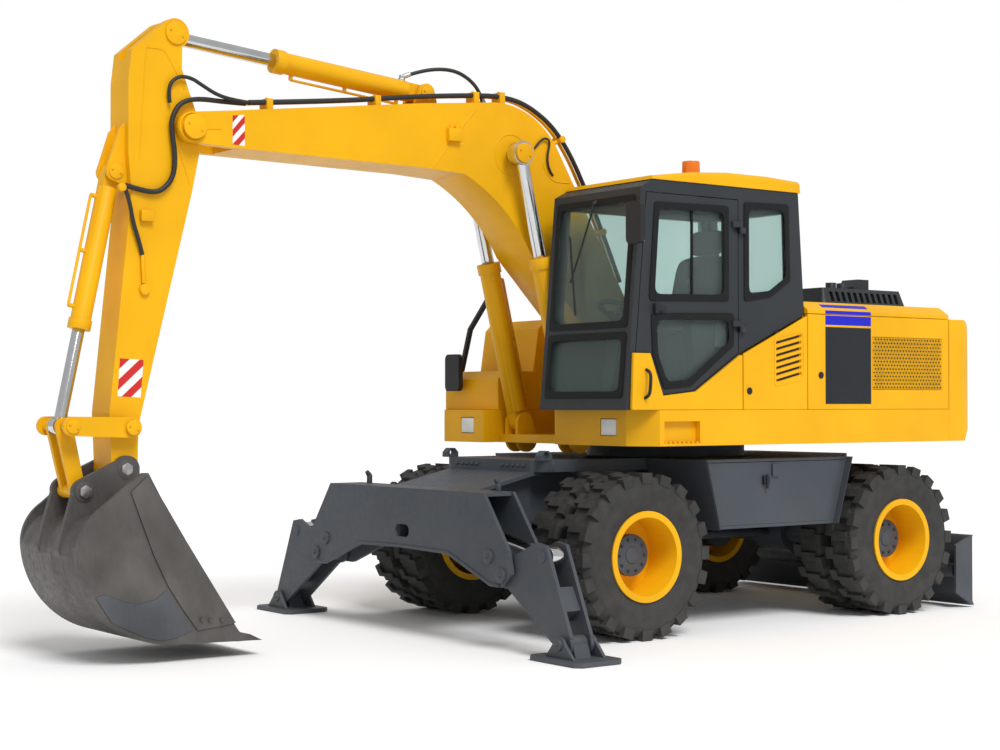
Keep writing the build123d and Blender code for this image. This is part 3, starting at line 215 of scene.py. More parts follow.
yellowPaint = paintFinish("yellowPaint", (0.80, 0.405, 0.004), 0.40, Specular_IOR_Level=0.20)
slatePaint = paintFinish("slatePaint", (0.050, 0.061, 0.076), 0.48, dust=0.10, Specular_IOR_Level=0.35)
hubPaint = paintFinish("hubPaint", (0.050, 0.061, 0.076), 0.5)
charcoalPaint = paintFinish("charcoalPaint", (0.026, 0.031, 0.036), 0.45, Specular_IOR_Level=0.3)
# Dark paint of the band, also used as painted shade behind the grilles and in the louvre's opening
bandPaintAndShade = paintFinish("bandPaintAndShade", (0.018, 0.021, 0.025), 0.45, Specular_IOR_Level=0.2)
bluePaint = paintFinish("bluePaint", (0.014, 0.018, 0.50), 0.4, Specular_IOR_Level=0.2)
redPaint = paintFinish("redPaint", (0.55, 0.012, 0.010), 0.4)
whitePaint = paintFinish("whitePaint", (0.82, 0.82, 0.80), 0.4)
wornSteel = steelFinish("wornSteel", [(0.25, (0.060, 0.055, 0.051)), (0.5, (0.090, 0.084, 0.079)),
                                      (0.8, (0.135, 0.125, 0.118))], 0.55, 0.35)
wearSteel = steelFinish("wearSteel", [(0.3, (0.060, 0.066, 0.075)), (0.7, (0.095, 0.102, 0.112))], 0.5, 0.4)
brightSteel = steelFinish("brightSteel", [(0.3, (0.30, 0.30, 0.29)), (0.7, (0.52, 0.52, 0.51))], 0.4, 0.9)
castIron = steelFinish("castIron", [(0.3, (0.035, 0.035, 0.035)), (0.7, (0.06, 0.06, 0.06))], 0.6, 0.3)
rodChrome = plainFinish("rodChrome", (0.70, 0.71, 0.72), 0.16, 30.0, 1.0)
tyreRubber = rubberFinish()
tintedGlass = glassFinish()
seatFabric = plainFinish("seatFabric", (0.040, 0.041, 0.046), 0.9, 420.0)
blackPlastic = plainFinish("blackPlastic", (0.018, 0.019, 0.021), 0.5, 300.0, Specular_IOR_Level=0.3)
sealRubber = plainFinish("sealRubber", (0.009, 0.010, 0.011), 0.6, 300.0, Specular_IOR_Level=0.2)
hoseRubber = plainFinish("hoseRubber", (0.016, 0.016, 0.017), 0.55, 200.0)
lampLens = plainFinish("lampLens", (0.80, 0.80, 0.77), 0.12, 60.0)
amberLens = plainFinish("amberLens", (0.85, 0.20, 0.01), 0.15, 60.0)
mirrorFace = plainFinish("mirrorFace", (0.75, 0.77, 0.78), 0.08, 20.0, 1.0)

slotMaterials = {
    "yellow_paint": yellowPaint, "slate_paint": slatePaint, "charcoal_paint": charcoalPaint,
    "worn_steel": wornSteel, "cast_iron": castIron, "rod_chrome": rodChrome, "tyre_rubber": tyreRubber,
    "tinted_glass": tintedGlass, "seat_fabric": seatFabric, "black_plastic": blackPlastic,
    "lamp_plastic": lampLens,
}
# Edge rounds in metres; glass keeps its sharp edges
edgeRounds = {"yellow_paint": 0.007, "slate_paint": 0.006, "charcoal_paint": 0.006, "worn_steel": 0.004,
              "cast_iron": 0.006, "tyre_rubber": 0.005, "seat_fabric": 0.02, "black_plastic": 0.004,
              "lamp_plastic": 0.006, "rod_chrome": 0.003}
roundLook = {"weld": 0.00005, "segments": 2, "angle": 38}
for sub in frame["record"]["subparts"]:
    node = nodes[sub["node"]]
    node.data.materials.clear()
    node.data.materials.append(slotMaterials[sub["material_slot"]])
    width = edgeRounds.get(sub["material_slot"])
    if width:
        weld = node.modifiers.new("joinFaces", "WELD")
        weld.merge_threshold = roundLook["weld"]
        soften = node.modifiers.new("roundEdges", "BEVEL")
        soften.width = width
        soften.segments = roundLook["segments"]
        soften.limit_method = "ANGLE"
        soften.angle_limit = radians(roundLook["angle"])
        soften.harden_normals = True
        soften.use_clamp_overlap = True
print("materials set")


# Modelling helpers: points and radii in millimetres where at() is used, bevels in metres

pieceLook = {"merge": 0.00001, "bevelAngle": 35, "bevelSegments": 2, "smoothAngle": 32}
boltLook = {"sink": 0.002, "washerLift": 0.0003, "washerRadius": 1.1, "headLift": 0.0011, "headRadius": 0.8}
tubeLook = {"ringSteps": 3, "lineSteps": 8, "order": 3}


def finishPiece(name, bm, material, body, bevel=0.0):
    bmesh.ops.remove_doubles(bm, verts=bm.verts, dist=pieceLook["merge"])
    bmesh.ops.recalc_face_normals(bm, faces=bm.faces)
    if bevel:
        sharp = [e for e in bm.edges
                 if len(e.link_faces) == 2 and e.calc_face_angle(0) > radians(pieceLook["bevelAngle"])]
        bmesh.ops.bevel(bm, geom=sharp, offset=bevel, segments=pieceLook["bevelSegments"], profile=0.5,
                        affect="EDGES", material=-1, clamp_overlap=True)
    mesh = bpy.data.meshes.new(name)
    bm.to_mesh(mesh)
    bm.free()
    mesh.materials.append(material)
    mesh.shade_smooth()
    mesh.set_sharp_from_angle(angle=radians(pieceLook["smoothAngle"]))
    obj = bpy.data.objects.new(name, mesh)
    scene.collection.objects.link(obj)
    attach(obj, body)
    return obj


def addBox(bm, xs, ys, zs):
    verts = bmesh.ops.create_cube(bm, size=1)["verts"]
    low, high = at(xs[0], ys[0], zs[0]), at(xs[1], ys[1], zs[1])
    bmesh.ops.scale(bm, vec=high - low, verts=verts)
    bmesh.ops.translate(bm, vec=(high + low) / 2, verts=verts)


def addRod(bm, a, b, radius, segments, tip=None):
    along = b - a
    place = Matrix.Translation((a + b) / 2) @ along.to_track_quat("Z", "Y").to_matrix().to_4x4()
    tip = radius if tip is None else tip
    bmesh.ops.create_cone(bm, cap_ends=True, segments=segments, radius1=radius / 1000, radius2=tip / 1000,
                          depth=along.length, matrix=place)


def extrudeBy(bm, faces, reach):
    grown = bmesh.ops.extrude_face_region(bm, geom=faces)["geom"]
    bmesh.ops.translate(bm, vec=reach, verts=[g for g in grown if isinstance(g, bmesh.types.BMVert)])


def addPlate(bm, points, reach):
    extrudeBy(bm, [bm.faces.new([bm.verts.new(p) for p in points])], reach)


# A flat outline in x and z on a face that looks to the side
def addSidePlate(bm, points, y, depth):
    addPlate(bm, [at(x, y, z) for x, z in points], Vector((0, depth / 1000, 0)))


# A piece of plain boxes (x, y and z spans) and rods (two ends, radius, sides and perhaps a tip)
def buildParts(name, parts, material, body, bevel=0.0):
    bm = bmesh.new()
    for spans in parts.get("boxes", ()):
        addBox(bm, *spans)
    for start, stop, *size in parts.get("rods", ()):
        addRod(bm, at(*start), at(*stop), *size)
    finishPiece(name, bm, material, body, bevel)


def addBolt(bm, centre, out, size):
    out = Vector(out).normalized()
    addRod(bm, centre - out * boltLook["sink"], centre + out * size * boltLook["washerLift"],
           size * boltLook["washerRadius"], 16)
    addRod(bm, centre, centre + out * size * boltLook["headLift"], size * boltLook["headRadius"], 6)


def addTorus(bm, centre, axis, ring, thickness, segments):
    turn = Vector(axis).to_track_quat("Z", "Y").to_matrix().to_4x4()
    place = Matrix.Translation(centre) @ turn
    place = place @ Matrix.Translation((ring / 1000, 0, 0)) @ Matrix.Rotation(pi / 2, 4, "X")
    circle = bmesh.ops.create_circle(bm, segments=12, radius=thickness / 1000, cap_ends=False, matrix=place)
    edges = list({e for v in circle["verts"] for e in v.link_edges})
    bmesh.ops.spin(bm, geom=circle["verts"] + edges, cent=centre, axis=axis, angle=2 * pi, steps=segments,
                   use_merge=True, use_duplicate=False)


def addTube(name, points, radius, material, body):
    curve = bpy.data.curves.new(name, "CURVE")
    curve.dimensions = "3D"
    curve.bevel_depth = radius / 1000
    curve.bevel_resolution = tubeLook["ringSteps"]
    curve.resolution_u = tubeLook["lineSteps"]
    curve.use_fill_caps = True
    spline = curve.splines.new("NURBS")
    spline.points.add(len(points) - 1)
    for point, place in zip(spline.points, points):
        point.co = (*at(*place), 1)
    spline.order_u = tubeLook["order"]
    spline.use_endpoint_u = True
    curve.materials.append(material)
    obj = bpy.data.objects.new(name, curve)
    scene.collection.objects.link(obj)
    if body:
        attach(obj, body)
    return obj


def curveMesh(obj):
    bpy.context.view_layer.update()
    return bpy.data.meshes.new_from_object(obj.evaluated_get(bpy.context.evaluated_depsgraph_get()))


# A hose that runs across one joint: a mesh made from its curve
def addBridgeHose(name, points, radius, bodies, start, end):
    source = addTube(name + "Line", points, radius, hoseRubber, None)
    mesh = curveMesh(source)
    source.data.bevel_depth = 0
    source.data.use_fill_caps = False
    line = curveMesh(source)
    bpy.data.meshes.remove(line)
    bpy.data.objects.remove(source)
    obj = bpy.data.objects.new(name, mesh)
    scene.collection.objects.link(obj)
    mesh.shade_smooth()
    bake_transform(obj)


# Wheels: grey hub caps with their bolts, and valves

hub = {"axles": {"front": 1280, "rear": -1210}, "face": 1095, "capRadius": 140, "capReach": (-40, 4),
       "noseRadius": 59.4, "noseTip": 52.8, "noseReach": 12, "bolts": 10, "boltRing": 108, "boltSize": 10,
       "valveRing": 225, "valveTurn": 0.7, "valveFace": 985, "valveSpans": ((0, 90, 7), (85, 105, 10))}


def buildHub(bodyName, x, hand):
    low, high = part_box(f"{bodyName}_rims")
    z = (low.z + high.z) / 2 * 1000
    face = hub["face"] * hand
    inner, outer = [face + reach * hand for reach in hub["capReach"]]
    bm = bmesh.new()
    addRod(bm, at(x, inner, z), at(x, outer, z), hub["capRadius"], 40)
    addRod(bm, at(x, face, z), at(x, face + hub["noseReach"] * hand, z), hub["noseRadius"], 32, hub["noseTip"])
    finishPiece(bodyName + "HubCap", bm, hubPaint, bodyName + "_wheel", 0.004)
    bm = bmesh.new()
    for i in range(hub["bolts"]):
        turn = 2 * pi * i / hub["bolts"]
        spot = at(x + hub["boltRing"] * cos(turn), outer, z + hub["boltRing"] * sin(turn))
        addBolt(bm, spot, (0, hand, 0), hub["boltSize"])
    finishPiece(bodyName + "HubBolts", bm, castIron, bodyName + "_wheel")
    bm = bmesh.new()
    valveX = x + hub["valveRing"] * cos(hub["valveTurn"])
    valveZ = z + hub["valveRing"] * sin(hub["valveTurn"])
    for start, stop, radius in hub["valveSpans"]:
        addRod(bm, at(valveX, (hub["valveFace"] + start) * hand, valveZ),
               at(valveX, (hub["valveFace"] + stop) * hand, valveZ), radius, 12)
    finishPiece(bodyName + "Valve", bm, brightSteel, bodyName + "_wheel")


for end, wheelX in hub["axles"].items():
    for side, hand in sides:
        buildHub(f"{end}_{side}", wheelX, hand)
print("wheels dressed")


# Pins of the working arm: round caps with two keeper bolts, on both sides of the arm's middle

armY = -130
pinCaps = [
    {"name": "stickPivotCap", "body": "boom", "spot": (3972, 3272), "half": 225, "radius": 78, "depth": 14},
    {"name": "stickRodCap", "body": "stick", "spot": (4055, 3858), "half": 130, "radius": 72, "depth": 14},
    {"name": "cylinderBaseCap", "body": "boom", "spot": (2140, 3688), "half": 90, "radius": 50, "depth": 10},
    {"name": "boomRodCap", "body": "boom_rods", "spot": (1505, 3298), "half": 355, "radius": 70, "depth": 14},
    {"name": "boomFootCap", "body": "upper", "spot": (350, 1850), "half": 251, "radius": 80, "depth": 14},
    {"name": "boomBaseCap", "body": "upper", "spot": (1050, 1420), "half": 387, "radius": 58, "depth": 12},
    {"name": "bucketBaseCap", "body": "stick", "spot": (4430, 2975), "half": 82, "radius": 48, "depth": 10},
    {"name": "rockerCap", "body": "rocker_links", "spot": (4378, 1410), "half": 227, "radius": 46, "depth": 10},
    {"name": "linkCap", "body": "rocker_links", "spot": (4757, 1420), "half": 212, "radius": 44, "depth": 12},
]
pinLook = {"sink": 2, "boltTurn": 0.4, "boltShare": 0.62, "boltSize": 9}
bucketPins = {"face": 176, "sink": 2, "washerRadius": 62, "nutRadius": 40,
              "pins": [{"spot": (4394, 1158), "washer": 2.5, "proud": 6},
                       {"spot": (4668, 1030), "washer": 6, "proud": 24}]}
bossRings = {"face": 205, "rings": [{"spot": (1505, 3298), "radius": 145, "bead": 4, "steps": 48},
                                    {"spot": (3972, 3272), "radius": 88, "bead": 6, "steps": 36}]}


def buildPinCap(cap):
    bm = bmesh.new()
    x, z = cap["spot"]
    ring = cap["radius"] * pinLook["boltShare"]
    for hand in (-1, 1):
        inner = armY + hand * (cap["half"] - pinLook["sink"])
        outer = armY + hand * (cap["half"] + cap["depth"])
        addRod(bm, at(x, inner, z), at(x, outer, z), cap["radius"], 36)
        for turn in (pinLook["boltTurn"], pinLook["boltTurn"] + pi):
            addBolt(bm, at(x + ring * cos(turn), outer, z + ring * sin(turn)), (0, hand, 0), pinLook["boltSize"])
    finishPiece(cap["name"], bm, yellowPaint, cap["body"], 0.003)


def buildBucketPins():
    washers, nuts = bmesh.new(), bmesh.new()
    for pin in bucketPins["pins"]:
        x, z = pin["spot"]
        for hand in (-1, 1):
            face = armY + hand * bucketPins["face"]
            addRod(washers, at(x, face - hand * bucketPins["sink"], z), at(x, face + hand * pin["washer"], z),
                   bucketPins["washerRadius"], 36)
            addRod(nuts, at(x, face, z), at(x, face + hand * pin["proud"], z), bucketPins["nutRadius"], 6)
    finishPiece("bucketPinWashers", washers, wornSteel, "bucket", 0.001)
    finishPiece("bucketPinNuts", nuts, brightSteel, "bucket", 0.002)


def buildBossRings():
    bm = bmesh.new()
    for hand in (-1, 1):
        for ring in bossRings["rings"]:
            x, z = ring["spot"]
            addTorus(bm, at(x, armY + hand * bossRings["face"], z), (0, 1, 0), ring["radius"], ring["bead"],
                     ring["steps"])
    finishPiece("boomBossRings", bm, yellowPaint, "boom")


for cap in pinCaps:
    buildPinCap(cap)
buildBucketPins()
buildBossRings()
print("pins dressed")


# Hazard patches: red bars on white, on the boom's nose and on the stick

hazardLook = {"bars": 3, "ground": 0.8, "barLift": 0.9, "bar": 0.6}
# Corners: top front, top rear, bottom rear, bottom front
hazards = [
    {"name": "boomHazard", "body": "boom", "face": 75.2,
     "corners": [(3700, 3368), (3614, 3380), (3612, 3182), (3698, 3186)]},
    {"name": "stickHazard", "body": "stick", "face": 0.2,
     "corners": [(4424, 1830), (4268, 1822), (4287, 1592), (4438, 1600)]},
]


# Keeps the part of a flat outline whose second value lies beyond a level
def clipLevel(points, level, hand):
    kept = []
    for (u0, v0), (u1, v1) in zip(points, points[1:] + points[:1]):
        inside0, inside1 = hand * (v0 - level) >= 0, hand * (v1 - level) >= 0
        if inside0:
            kept.append((u0, v0))
        if inside0 != inside1:
            share = (level - v0) / (v1 - v0)
            kept.append((u0 + (u1 - u0) * share, level))
    return kept


def buildHazard(patch):
    bm = bmesh.new()
    addSidePlate(bm, patch["corners"], patch["face"], hazardLook["ground"])
    finishPiece(patch["name"] + "Ground", bm, whitePaint, patch["body"])
    a, b, c, d = [Vector(corner) for corner in patch["corners"]]
    rise = (b - a).length / (d - a).length
    step = (1 + rise) / hazardLook["bars"]
    bm = bmesh.new()
    for i in range(hazardLook["bars"]):
        low = i * step - rise
        bar = [(0, low + rise), (0, low + rise + step / 2), (1, low + step / 2), (1, low)]
        bar = clipLevel(clipLevel(bar, 0, 1), 1, -1)
        if len(bar) > 2:
            spots = [(a * (1 - u) + b * u) * (1 - v) + (d * (1 - u) + c * u) * v for u, v in bar]
            addSidePlate(bm, spots, patch["face"] + hazardLook["barLift"], hazardLook["bar"])
    finishPiece(patch["name"] + "Bars", bm, redPaint, patch["body"])


for patch in hazards:
    buildHazard(patch)


# Dark band with three blue stripes on the rear door and on the cover above it

band = {"x": (-413, -890), "face": 1245.2, "film": 0.8, "dark": (1550, 2100), "doorStripe": (2115, 2182),
        "coverStripe": (2193, 2218), "slope": ((1215.2, 2240.3), (1182.2, 2262.3)), "slopeFilm": (0, 0.5, 0.8)}


def addBandPlate(bm, level):
    (front, rear), (low, high) = band["x"], level
    addSidePlate(bm, [(front, low), (rear, low), (rear, high), (front, high)], band["face"], band["film"])


def buildBand():
    bm = bmesh.new()
    addBandPlate(bm, band["dark"])
    finishPiece("doorBand", bm, bandPaintAndShade, "left_rear_door")
    bm = bmesh.new()
    addBandPlate(bm, band["doorStripe"])
    finishPiece("doorStripe", bm, bluePaint, "left_rear_door")
    bm = bmesh.new()
    addBandPlate(bm, band["coverStripe"])
    (front, rear), (low, high) = band["x"], band["slope"]
    addPlate(bm, [at(front, *low), at(rear, *low), at(rear, *high), at(front, *high)],
             Vector(band["slopeFilm"]) / 1000)
    finishPiece("coverStripes", bm, bluePaint, "upper")


buildBand()
print("stripes and patches placed")


# Pipe and hose along the boom's top, in clamps and on posts, and hoses at the joints

boomLines = {
    "line": [(3560, 3470), (2900, 3545), (2280, 3640), (1768, 3700), (1560, 3712), (1357, 3684), (1150, 3578),
             (1022, 3460), (911, 3310), (800, 3115), (640, 2820), (470, 2450)],
    "pipeY": -20, "pipeRadius": 13, "hoseY": 30, "hoseRadius": 17, "middleY": 5, "boltSize": 10,
    "clampHalf": 22, "clampY": (-46, 58),
    "clamps": [(3420, 3432, 3508), (2600, 3540, 3612), (1790, 3634, 3718), (1567, 3640, 3738)],  # x, low, high
    "postRadius": 16, "saddleRadius": 25, "saddleY": (-44, 56),
    "posts": [((1024, 3456), (1120, 3392)), ((794, 3103), (884, 3010)), ((639, 2811), (744, 2776))],  # head, foot
}
# A hose with a bend runs between two bodies, and its bend is given by two points
hoses = [
    {"name": "stickHoseLong", "bodies": ("boom", "stick"), "radius": 16,
     "bend": ((3800, 20, 3460), (4094, 30, 3150)),
     "points": [(3560, -20, 3470), (3720, 0, 3462), (3917, 30, 3460), (4040, 32, 3425), (4100, 32, 3320),
                (4094, 30, 3220), (4072, 28, 3100), (4080, 28, 2960), (4160, 26, 2862), (4260, 22, 2850),
                (4395, 10, 2885)]},
    {"name": "stickHoseShort", "bodies": ("boom", "stick"), "radius": 12,
     "bend": ((3700, 34, 3480), (4100, 26, 3540)),
     "points": [(3560, 30, 3470), (3680, 34, 3474), (3790, 34, 3496), (3880, 32, 3540), (3965, 30, 3585),
                (4060, 28, 3585), (4125, 26, 3510), (4105, 22, 3415)]},
    {"name": "bucketHose", "bodies": ("stick",), "radius": 13,
     "points": [(4400, 8, 2880), (4371, 20, 2784), (4351, 24, 2661), (4310, 22, 2551), (4285, 16, 2465)]},
    {"name": "greaseHose", "bodies": ("boom",), "radius": 8,
     "points": [(1302, 82, 3365), (1257, 92, 3428), (1204, 94, 3444), (1170, 92, 3418), (1200, 90, 3302),
                (1175, 88, 3210), (1137, 80, 3183)]},
    {"name": "armHose", "bodies": ("boom", "stick_barrel"), "radius": 13,
     "bend": ((1850, 0, 3830), (2150, -20, 3800)),
     "points": [(2290, -126, 3792), (2225, -100, 3822), (2080, -30, 3860), (1930, 0, 3858), (1800, 0, 3805),
                (1715, -5, 3725), (1690, -10, 3650)]},
]
armHoseElbow = {"rods": [((2292, -130, 3758), (2292, -130, 3784), 25, 6),
                         ((2292, -130, 3780), (2292, -130, 3806), 18, 20),
                         ((2296, -128, 3790), (2238, -105, 3816), 17, 20)]}
armHoseRoot = {"rods": [((1690, -10, 3625), (1692, -10, 3672), 25, 6),
                        ((1692, -10, 3668), (1698, -9, 3698), 17, 20)]}


def buildBoomLines():
    y = boomLines["middleY"]
    addTube("boomPipe", [(x, boomLines["pipeY"], z) for x, z in boomLines["line"]], boomLines["pipeRadius"],
            yellowPaint, "boom")
    addTube("boomHose", [(x, boomLines["hoseY"], z) for x, z in boomLines["line"]], boomLines["hoseRadius"],
            hoseRubber, "boom")
    bm = bmesh.new()
    for x, low, high in boomLines["clamps"]:
        addBox(bm, (x - boomLines["clampHalf"], x + boomLines["clampHalf"]), boomLines["clampY"], (low, high))
        addBolt(bm, at(x, y, high), (0, 0, 1), boomLines["boltSize"])
    for (x, z), (footX, footZ) in boomLines["posts"]:
        addRod(bm, at(footX, y, footZ), at(x, y, z), boomLines["postRadius"], 16)
        right, left = boomLines["saddleY"]
        addRod(bm, at(x, right, z), at(x, left, z), boomLines["saddleRadius"], 20)
    finishPiece("boomPipeClamps", bm, yellowPaint, "boom", 0.005)


buildBoomLines()
for hose in hoses:
    if "bend" in hose:
        addBridgeHose(hose["name"], hose["points"], hose["radius"], hose["bodies"], *hose["bend"])
    else:
        addTube(hose["name"], hose["points"], hose["radius"], hoseRubber, hose["bodies"][0])
buildParts("armHoseElbow", armHoseElbow, brightSteel, "stick_barrel", 0.002)
buildParts("armHoseRoot", armHoseRoot, brightSteel, "boom", 0.002)


# Weld beads, fittings and blocks on the arm

seamRadius = 4
boomBend = [(1808, 3595), (1985, 3400), (2170, 3160)]
stickHead = [(4250, 3745), (4158, 3752), (4110, 3721), (3995, 3510)]
armSeams = [
    {"name": "boomSeam", "body": "boom", "y": 75, "points": boomBend},
    {"name": "boomFarSeam", "body": "boom", "y": -335, "points": boomBend},
    {"name": "boomFootSeam", "body": "boom", "y": 75,
     "points": [(1227, 3267), (1212, 3215), (1144, 3149), (1076, 3136), (980, 3140)]},
    {"name": "noseSeam", "body": "boom", "y": 75, "points": [(3880, 3268), (3830, 3272), (3782, 3276)]},
    {"name": "stickSeamHigh", "body": "stick", "y": 0, "points": stickHead},
    {"name": "stickSeamLow", "body": "stick", "y": 0, "points": [(4052, 3180), (3998, 3040), (3960, 2925)]},
    {"name": "stickSeamFront", "body": "stick", "y": 0, "points": [(4255, 3740), (4280, 3405), (4300, 3060)]},
    {"name": "stickFarSeam", "body": "stick", "y": -260, "points": stickHead},
]
boomBlock = {"boxes": [((1950, 2060), (70, 112), (3350, 3440))],
             "rods": [((1985, 95, 3436), (1985, 95, 3462), 16, 16), ((2028, 95, 3436), (2028, 95, 3456), 13, 16)]}
stickBlocks = {"boxes": [((4212, 4298), (-4, 34), (2672, 2740))],
               "rods": [((4284, 16, 2470), (4275, 16, 2290), 12, 16), ((4266, -4, 2255), (4266, 26, 2255), 34, 24),
                        ((4420, -4, 2870), (4420, 30, 2870), 26, 20)]}
# Thin pipes beside the cylinders: from one pin towards the other, off the axis to one side
barrelPipes = [
    {"name": "bucketBarrelPipe", "body": "bucket_barrel", "from": (4430, 2975), "to": (4757, 1420), "side": 1,
     "off": 96, "span": (170, 860), "ys": (-130,)},
    {"name": "stickBarrelPipe", "body": "stick_barrel", "from": (2140, 3688), "to": (4055, 3858), "side": -1,
     "off": 100, "span": (190, 1020), "ys": (-130,)},
    {"name": "boomBarrelPipes", "body": "boom_barrels", "from": (1050, 1420), "to": (1505, 3298), "side": 1,
     "off": 104, "span": (200, 1050), "ys": (-440, 180)},
]
barrelPipeLook = {"radius": 9, "postRadius": 14, "postRoot": 60, "posts": (0, 0.5, 1)}


def buildBarrelPipe(pipe):
    bm = bmesh.new()
    base, goal = Vector(pipe["from"]), Vector(pipe["to"])
    along = (goal - base).normalized()
    out = Vector((-along.y, along.x)) * pipe["side"]
    low, high = [base + along * reach + out * pipe["off"] for reach in pipe["span"]]
    for y in pipe["ys"]:
        addRod(bm, at(low.x, y, low.y), at(high.x, y, high.y), barrelPipeLook["radius"], 12)
        for share in barrelPipeLook["posts"]:
            spot = low.lerp(high, share)
            root = spot - out * (pipe["off"] - barrelPipeLook["postRoot"])
            addRod(bm, at(root.x, y, root.y), at(spot.x, y, spot.y), barrelPipeLook["postRadius"], 12)
    finishPiece(pipe["name"], bm, yellowPaint, pipe["body"])


for seam in armSeams:
    addTube(seam["name"], [(x, seam["y"], z) for x, z in seam["points"]], seamRadius, yellowPaint, seam["body"])
buildParts("boomBlock", boomBlock, yellowPaint, "boom", 0.006)
buildParts("stickBlocks", stickBlocks, yellowPaint, "stick", 0.005)
for pipe in barrelPipes:
    buildBarrelPipe(pipe)
print("pipes and hoses laid")


# Cab: seals round the panes, door handle, grip and wiper

# Panes on the side are given as x and z, those of the screen as y and z
paneSeals = {
    "doorSealUpper": {"body": "cab_door", "pane": [(1219, 2243), (1170, 2880), (519, 2892), (519, 2262)]},
    "doorSealLower": {"body": "cab_door", "pane": [(1200, 2140), (475, 2160), (475, 1955), (868, 1680),
                                                   (1095, 1660), (1120, 1720), (1190, 1880)]},
    "sealScreenUpper": {"body": "upper", "pane": [(355, 2065), (1161, 2065), (1161, 2925), (355, 2925)]},
    "sealScreenLower": {"body": "upper", "pane": [(355, 1600), (1161, 1600), (1161, 2015), (355, 2015)]},
    "quarterSeal": {"body": "upper", "pane": [(350, 2930), (-60, 2940), (-75, 2420), (110, 2305), (350, 2265)]},
}
sealLook = {"widths": (12, 34), "face": 1216.2, "reach": (0, 7, 0), "screenLift": 0.3, "screenReach": (6, 0, 0.5)}
ringLook = {"outerCorner": 30, "innerCorner": 70, "longestCut": 60, "steps": 5}
cabFront = {"low": (1429, 1510), "top": (1295, 2985)}
windowSplit = {"boxes": [((822, 838), (1190, 1206), (2258, 2886))]}
doorHandle = {"boxes": [((1165, 1195), (1212, 1246), (2150, 2215)), ((1100, 1190), (1232, 1250), (2168, 2196))]}
cornerGrip = {"radius": 11, "points": [(1290, 1243, 1590), (1290, 1290, 1600), (1285, 1296, 1680),
                                       (1278, 1290, 1765), (1278, 1243, 1775)]}
# Each rod's ends: how far proud of the screen, y and z
wiper = [((14, 760, 2900), (14, 560, 2380), 7, 12), ((16, 520, 2700), (16, 640, 2150), 8, 10),
         ((-13.81695, 760, 2930), (20, 760, 2900), 16, 16)]


# The outline moved in by a distance, its corners turned into arcs with the same number of points each
def roundedOutline(points, inset, corner):
    spots = [Vector(p) for p in points]
    area = sum(a.x * b.y - b.x * a.y for a, b in zip(spots, spots[1:] + spots[:1]))
    if area < 0:
        spots.reverse()
    lines = []
    for a, b in zip(spots, spots[1:] + spots[:1]):
        along = (b - a).normalized()
        lines.append((a + Vector((-along.y, along.x)) * inset, along))
    result = []
    for (p, u), (q, v) in zip(lines[-1:] + lines[:-1], lines):
        cross = u.x * v.y - u.y * v.x
        tip = p + u * (((q - p).x * v.y - (q - p).y * v.x) / cross)
        cut = min(corner * tan(u.angle(v) / 2), ringLook["longestCut"])
        for i in range(ringLook["steps"] + 1):
            share = i / ringLook["steps"]
            result.append(tip - u * cut * (1 - share) ** 2 + v * cut * share ** 2)
    return result


def frontAt(z):
    (x0, z0), (x1, z1) = cabFront["low"], cabFront["top"]
    return x0 + (x1 - x0) * (z - z0) / (z1 - z0)


def sidePlace(u, v):
    return at(u, sealLook["face"], v)


def frontPlace(u, v):
    return at(frontAt(v) + sealLook["screenLift"], u, v)


def buildRing(name, pane, place, reach, widths, material, body):
    bm = bmesh.new()
    outer = roundedOutline(pane, -widths[0], ringLook["outerCorner"])
    inner = roundedOutline(pane, widths[1], ringLook["innerCorner"])
    loops = [[bm.verts.new(place(p.x, p.y)) for p in loop] for loop in (outer, inner)]
    edges = [bm.edges.new((a, b)) for loop in loops for a, b in zip(loop, loop[1:] + loop[:1])]
    ring = bmesh.ops.bridge_loops(bm, edges=edges)["faces"]
    extrudeBy(bm, ring, Vector(reach) / 1000)
    finishPiece(name, bm, material, body, 0.002)


for name, seal in paneSeals.items():
    onScreen = "Screen" in name
    buildRing(name, seal["pane"], frontPlace if onScreen else sidePlace,
              sealLook["screenReach" if onScreen else "reach"], sealLook["widths"], sealRubber, seal["body"])
buildParts("windowSplit", windowSplit, sealRubber, "cab_door", 0.003)
buildParts("doorHandle", doorHandle, blackPlastic, "cab_door", 0.006)
addTube("cornerGrip", cornerGrip["points"], cornerGrip["radius"], blackPlastic, "upper")
wiperRods = [((frontAt(a[2]) + a[0], *a[1:]), (frontAt(b[2]) + b[0], *b[1:]), *size) for a, b, *size in wiper]
buildParts("windscreenWiper", {"rods": wiperRods}, blackPlastic, "upper")


# Seat and controls: crowned cushions on a plain base, and two sticks

seat = {"y": 758, "fill": 0.8, "cuts": 3, "smoothing": 0.45, "smoothRounds": 2, "levels": 2,
        "cushions": [
            {"name": "seatCushion", "half": 250, "corners": [(345, 2042), (875, 2042), (890, 2150), (400, 2155)]},
            {"name": "seatBack", "half": 245, "corners": [(470, 2130), (350, 2120), (215, 2600), (375, 2605)]},
            {"name": "seatHead", "half": 135, "corners": [(340, 2605), (240, 2600), (205, 2785), (325, 2785)]},
        ]}
seatBase = {"boxes": [((500, 760), (seat["y"] - 150, seat["y"] + 150), (1572, 2040))]}
stickYs = (seat["y"] - 300, seat["y"] + 300)
controlSticks = {"rods": [rod for y in stickYs for rod in (((690, y, 2200), (730, y, 2330), 14, 12),
                                                           ((725, y, 2320), (748, y, 2400), 24, 16, 20))]}


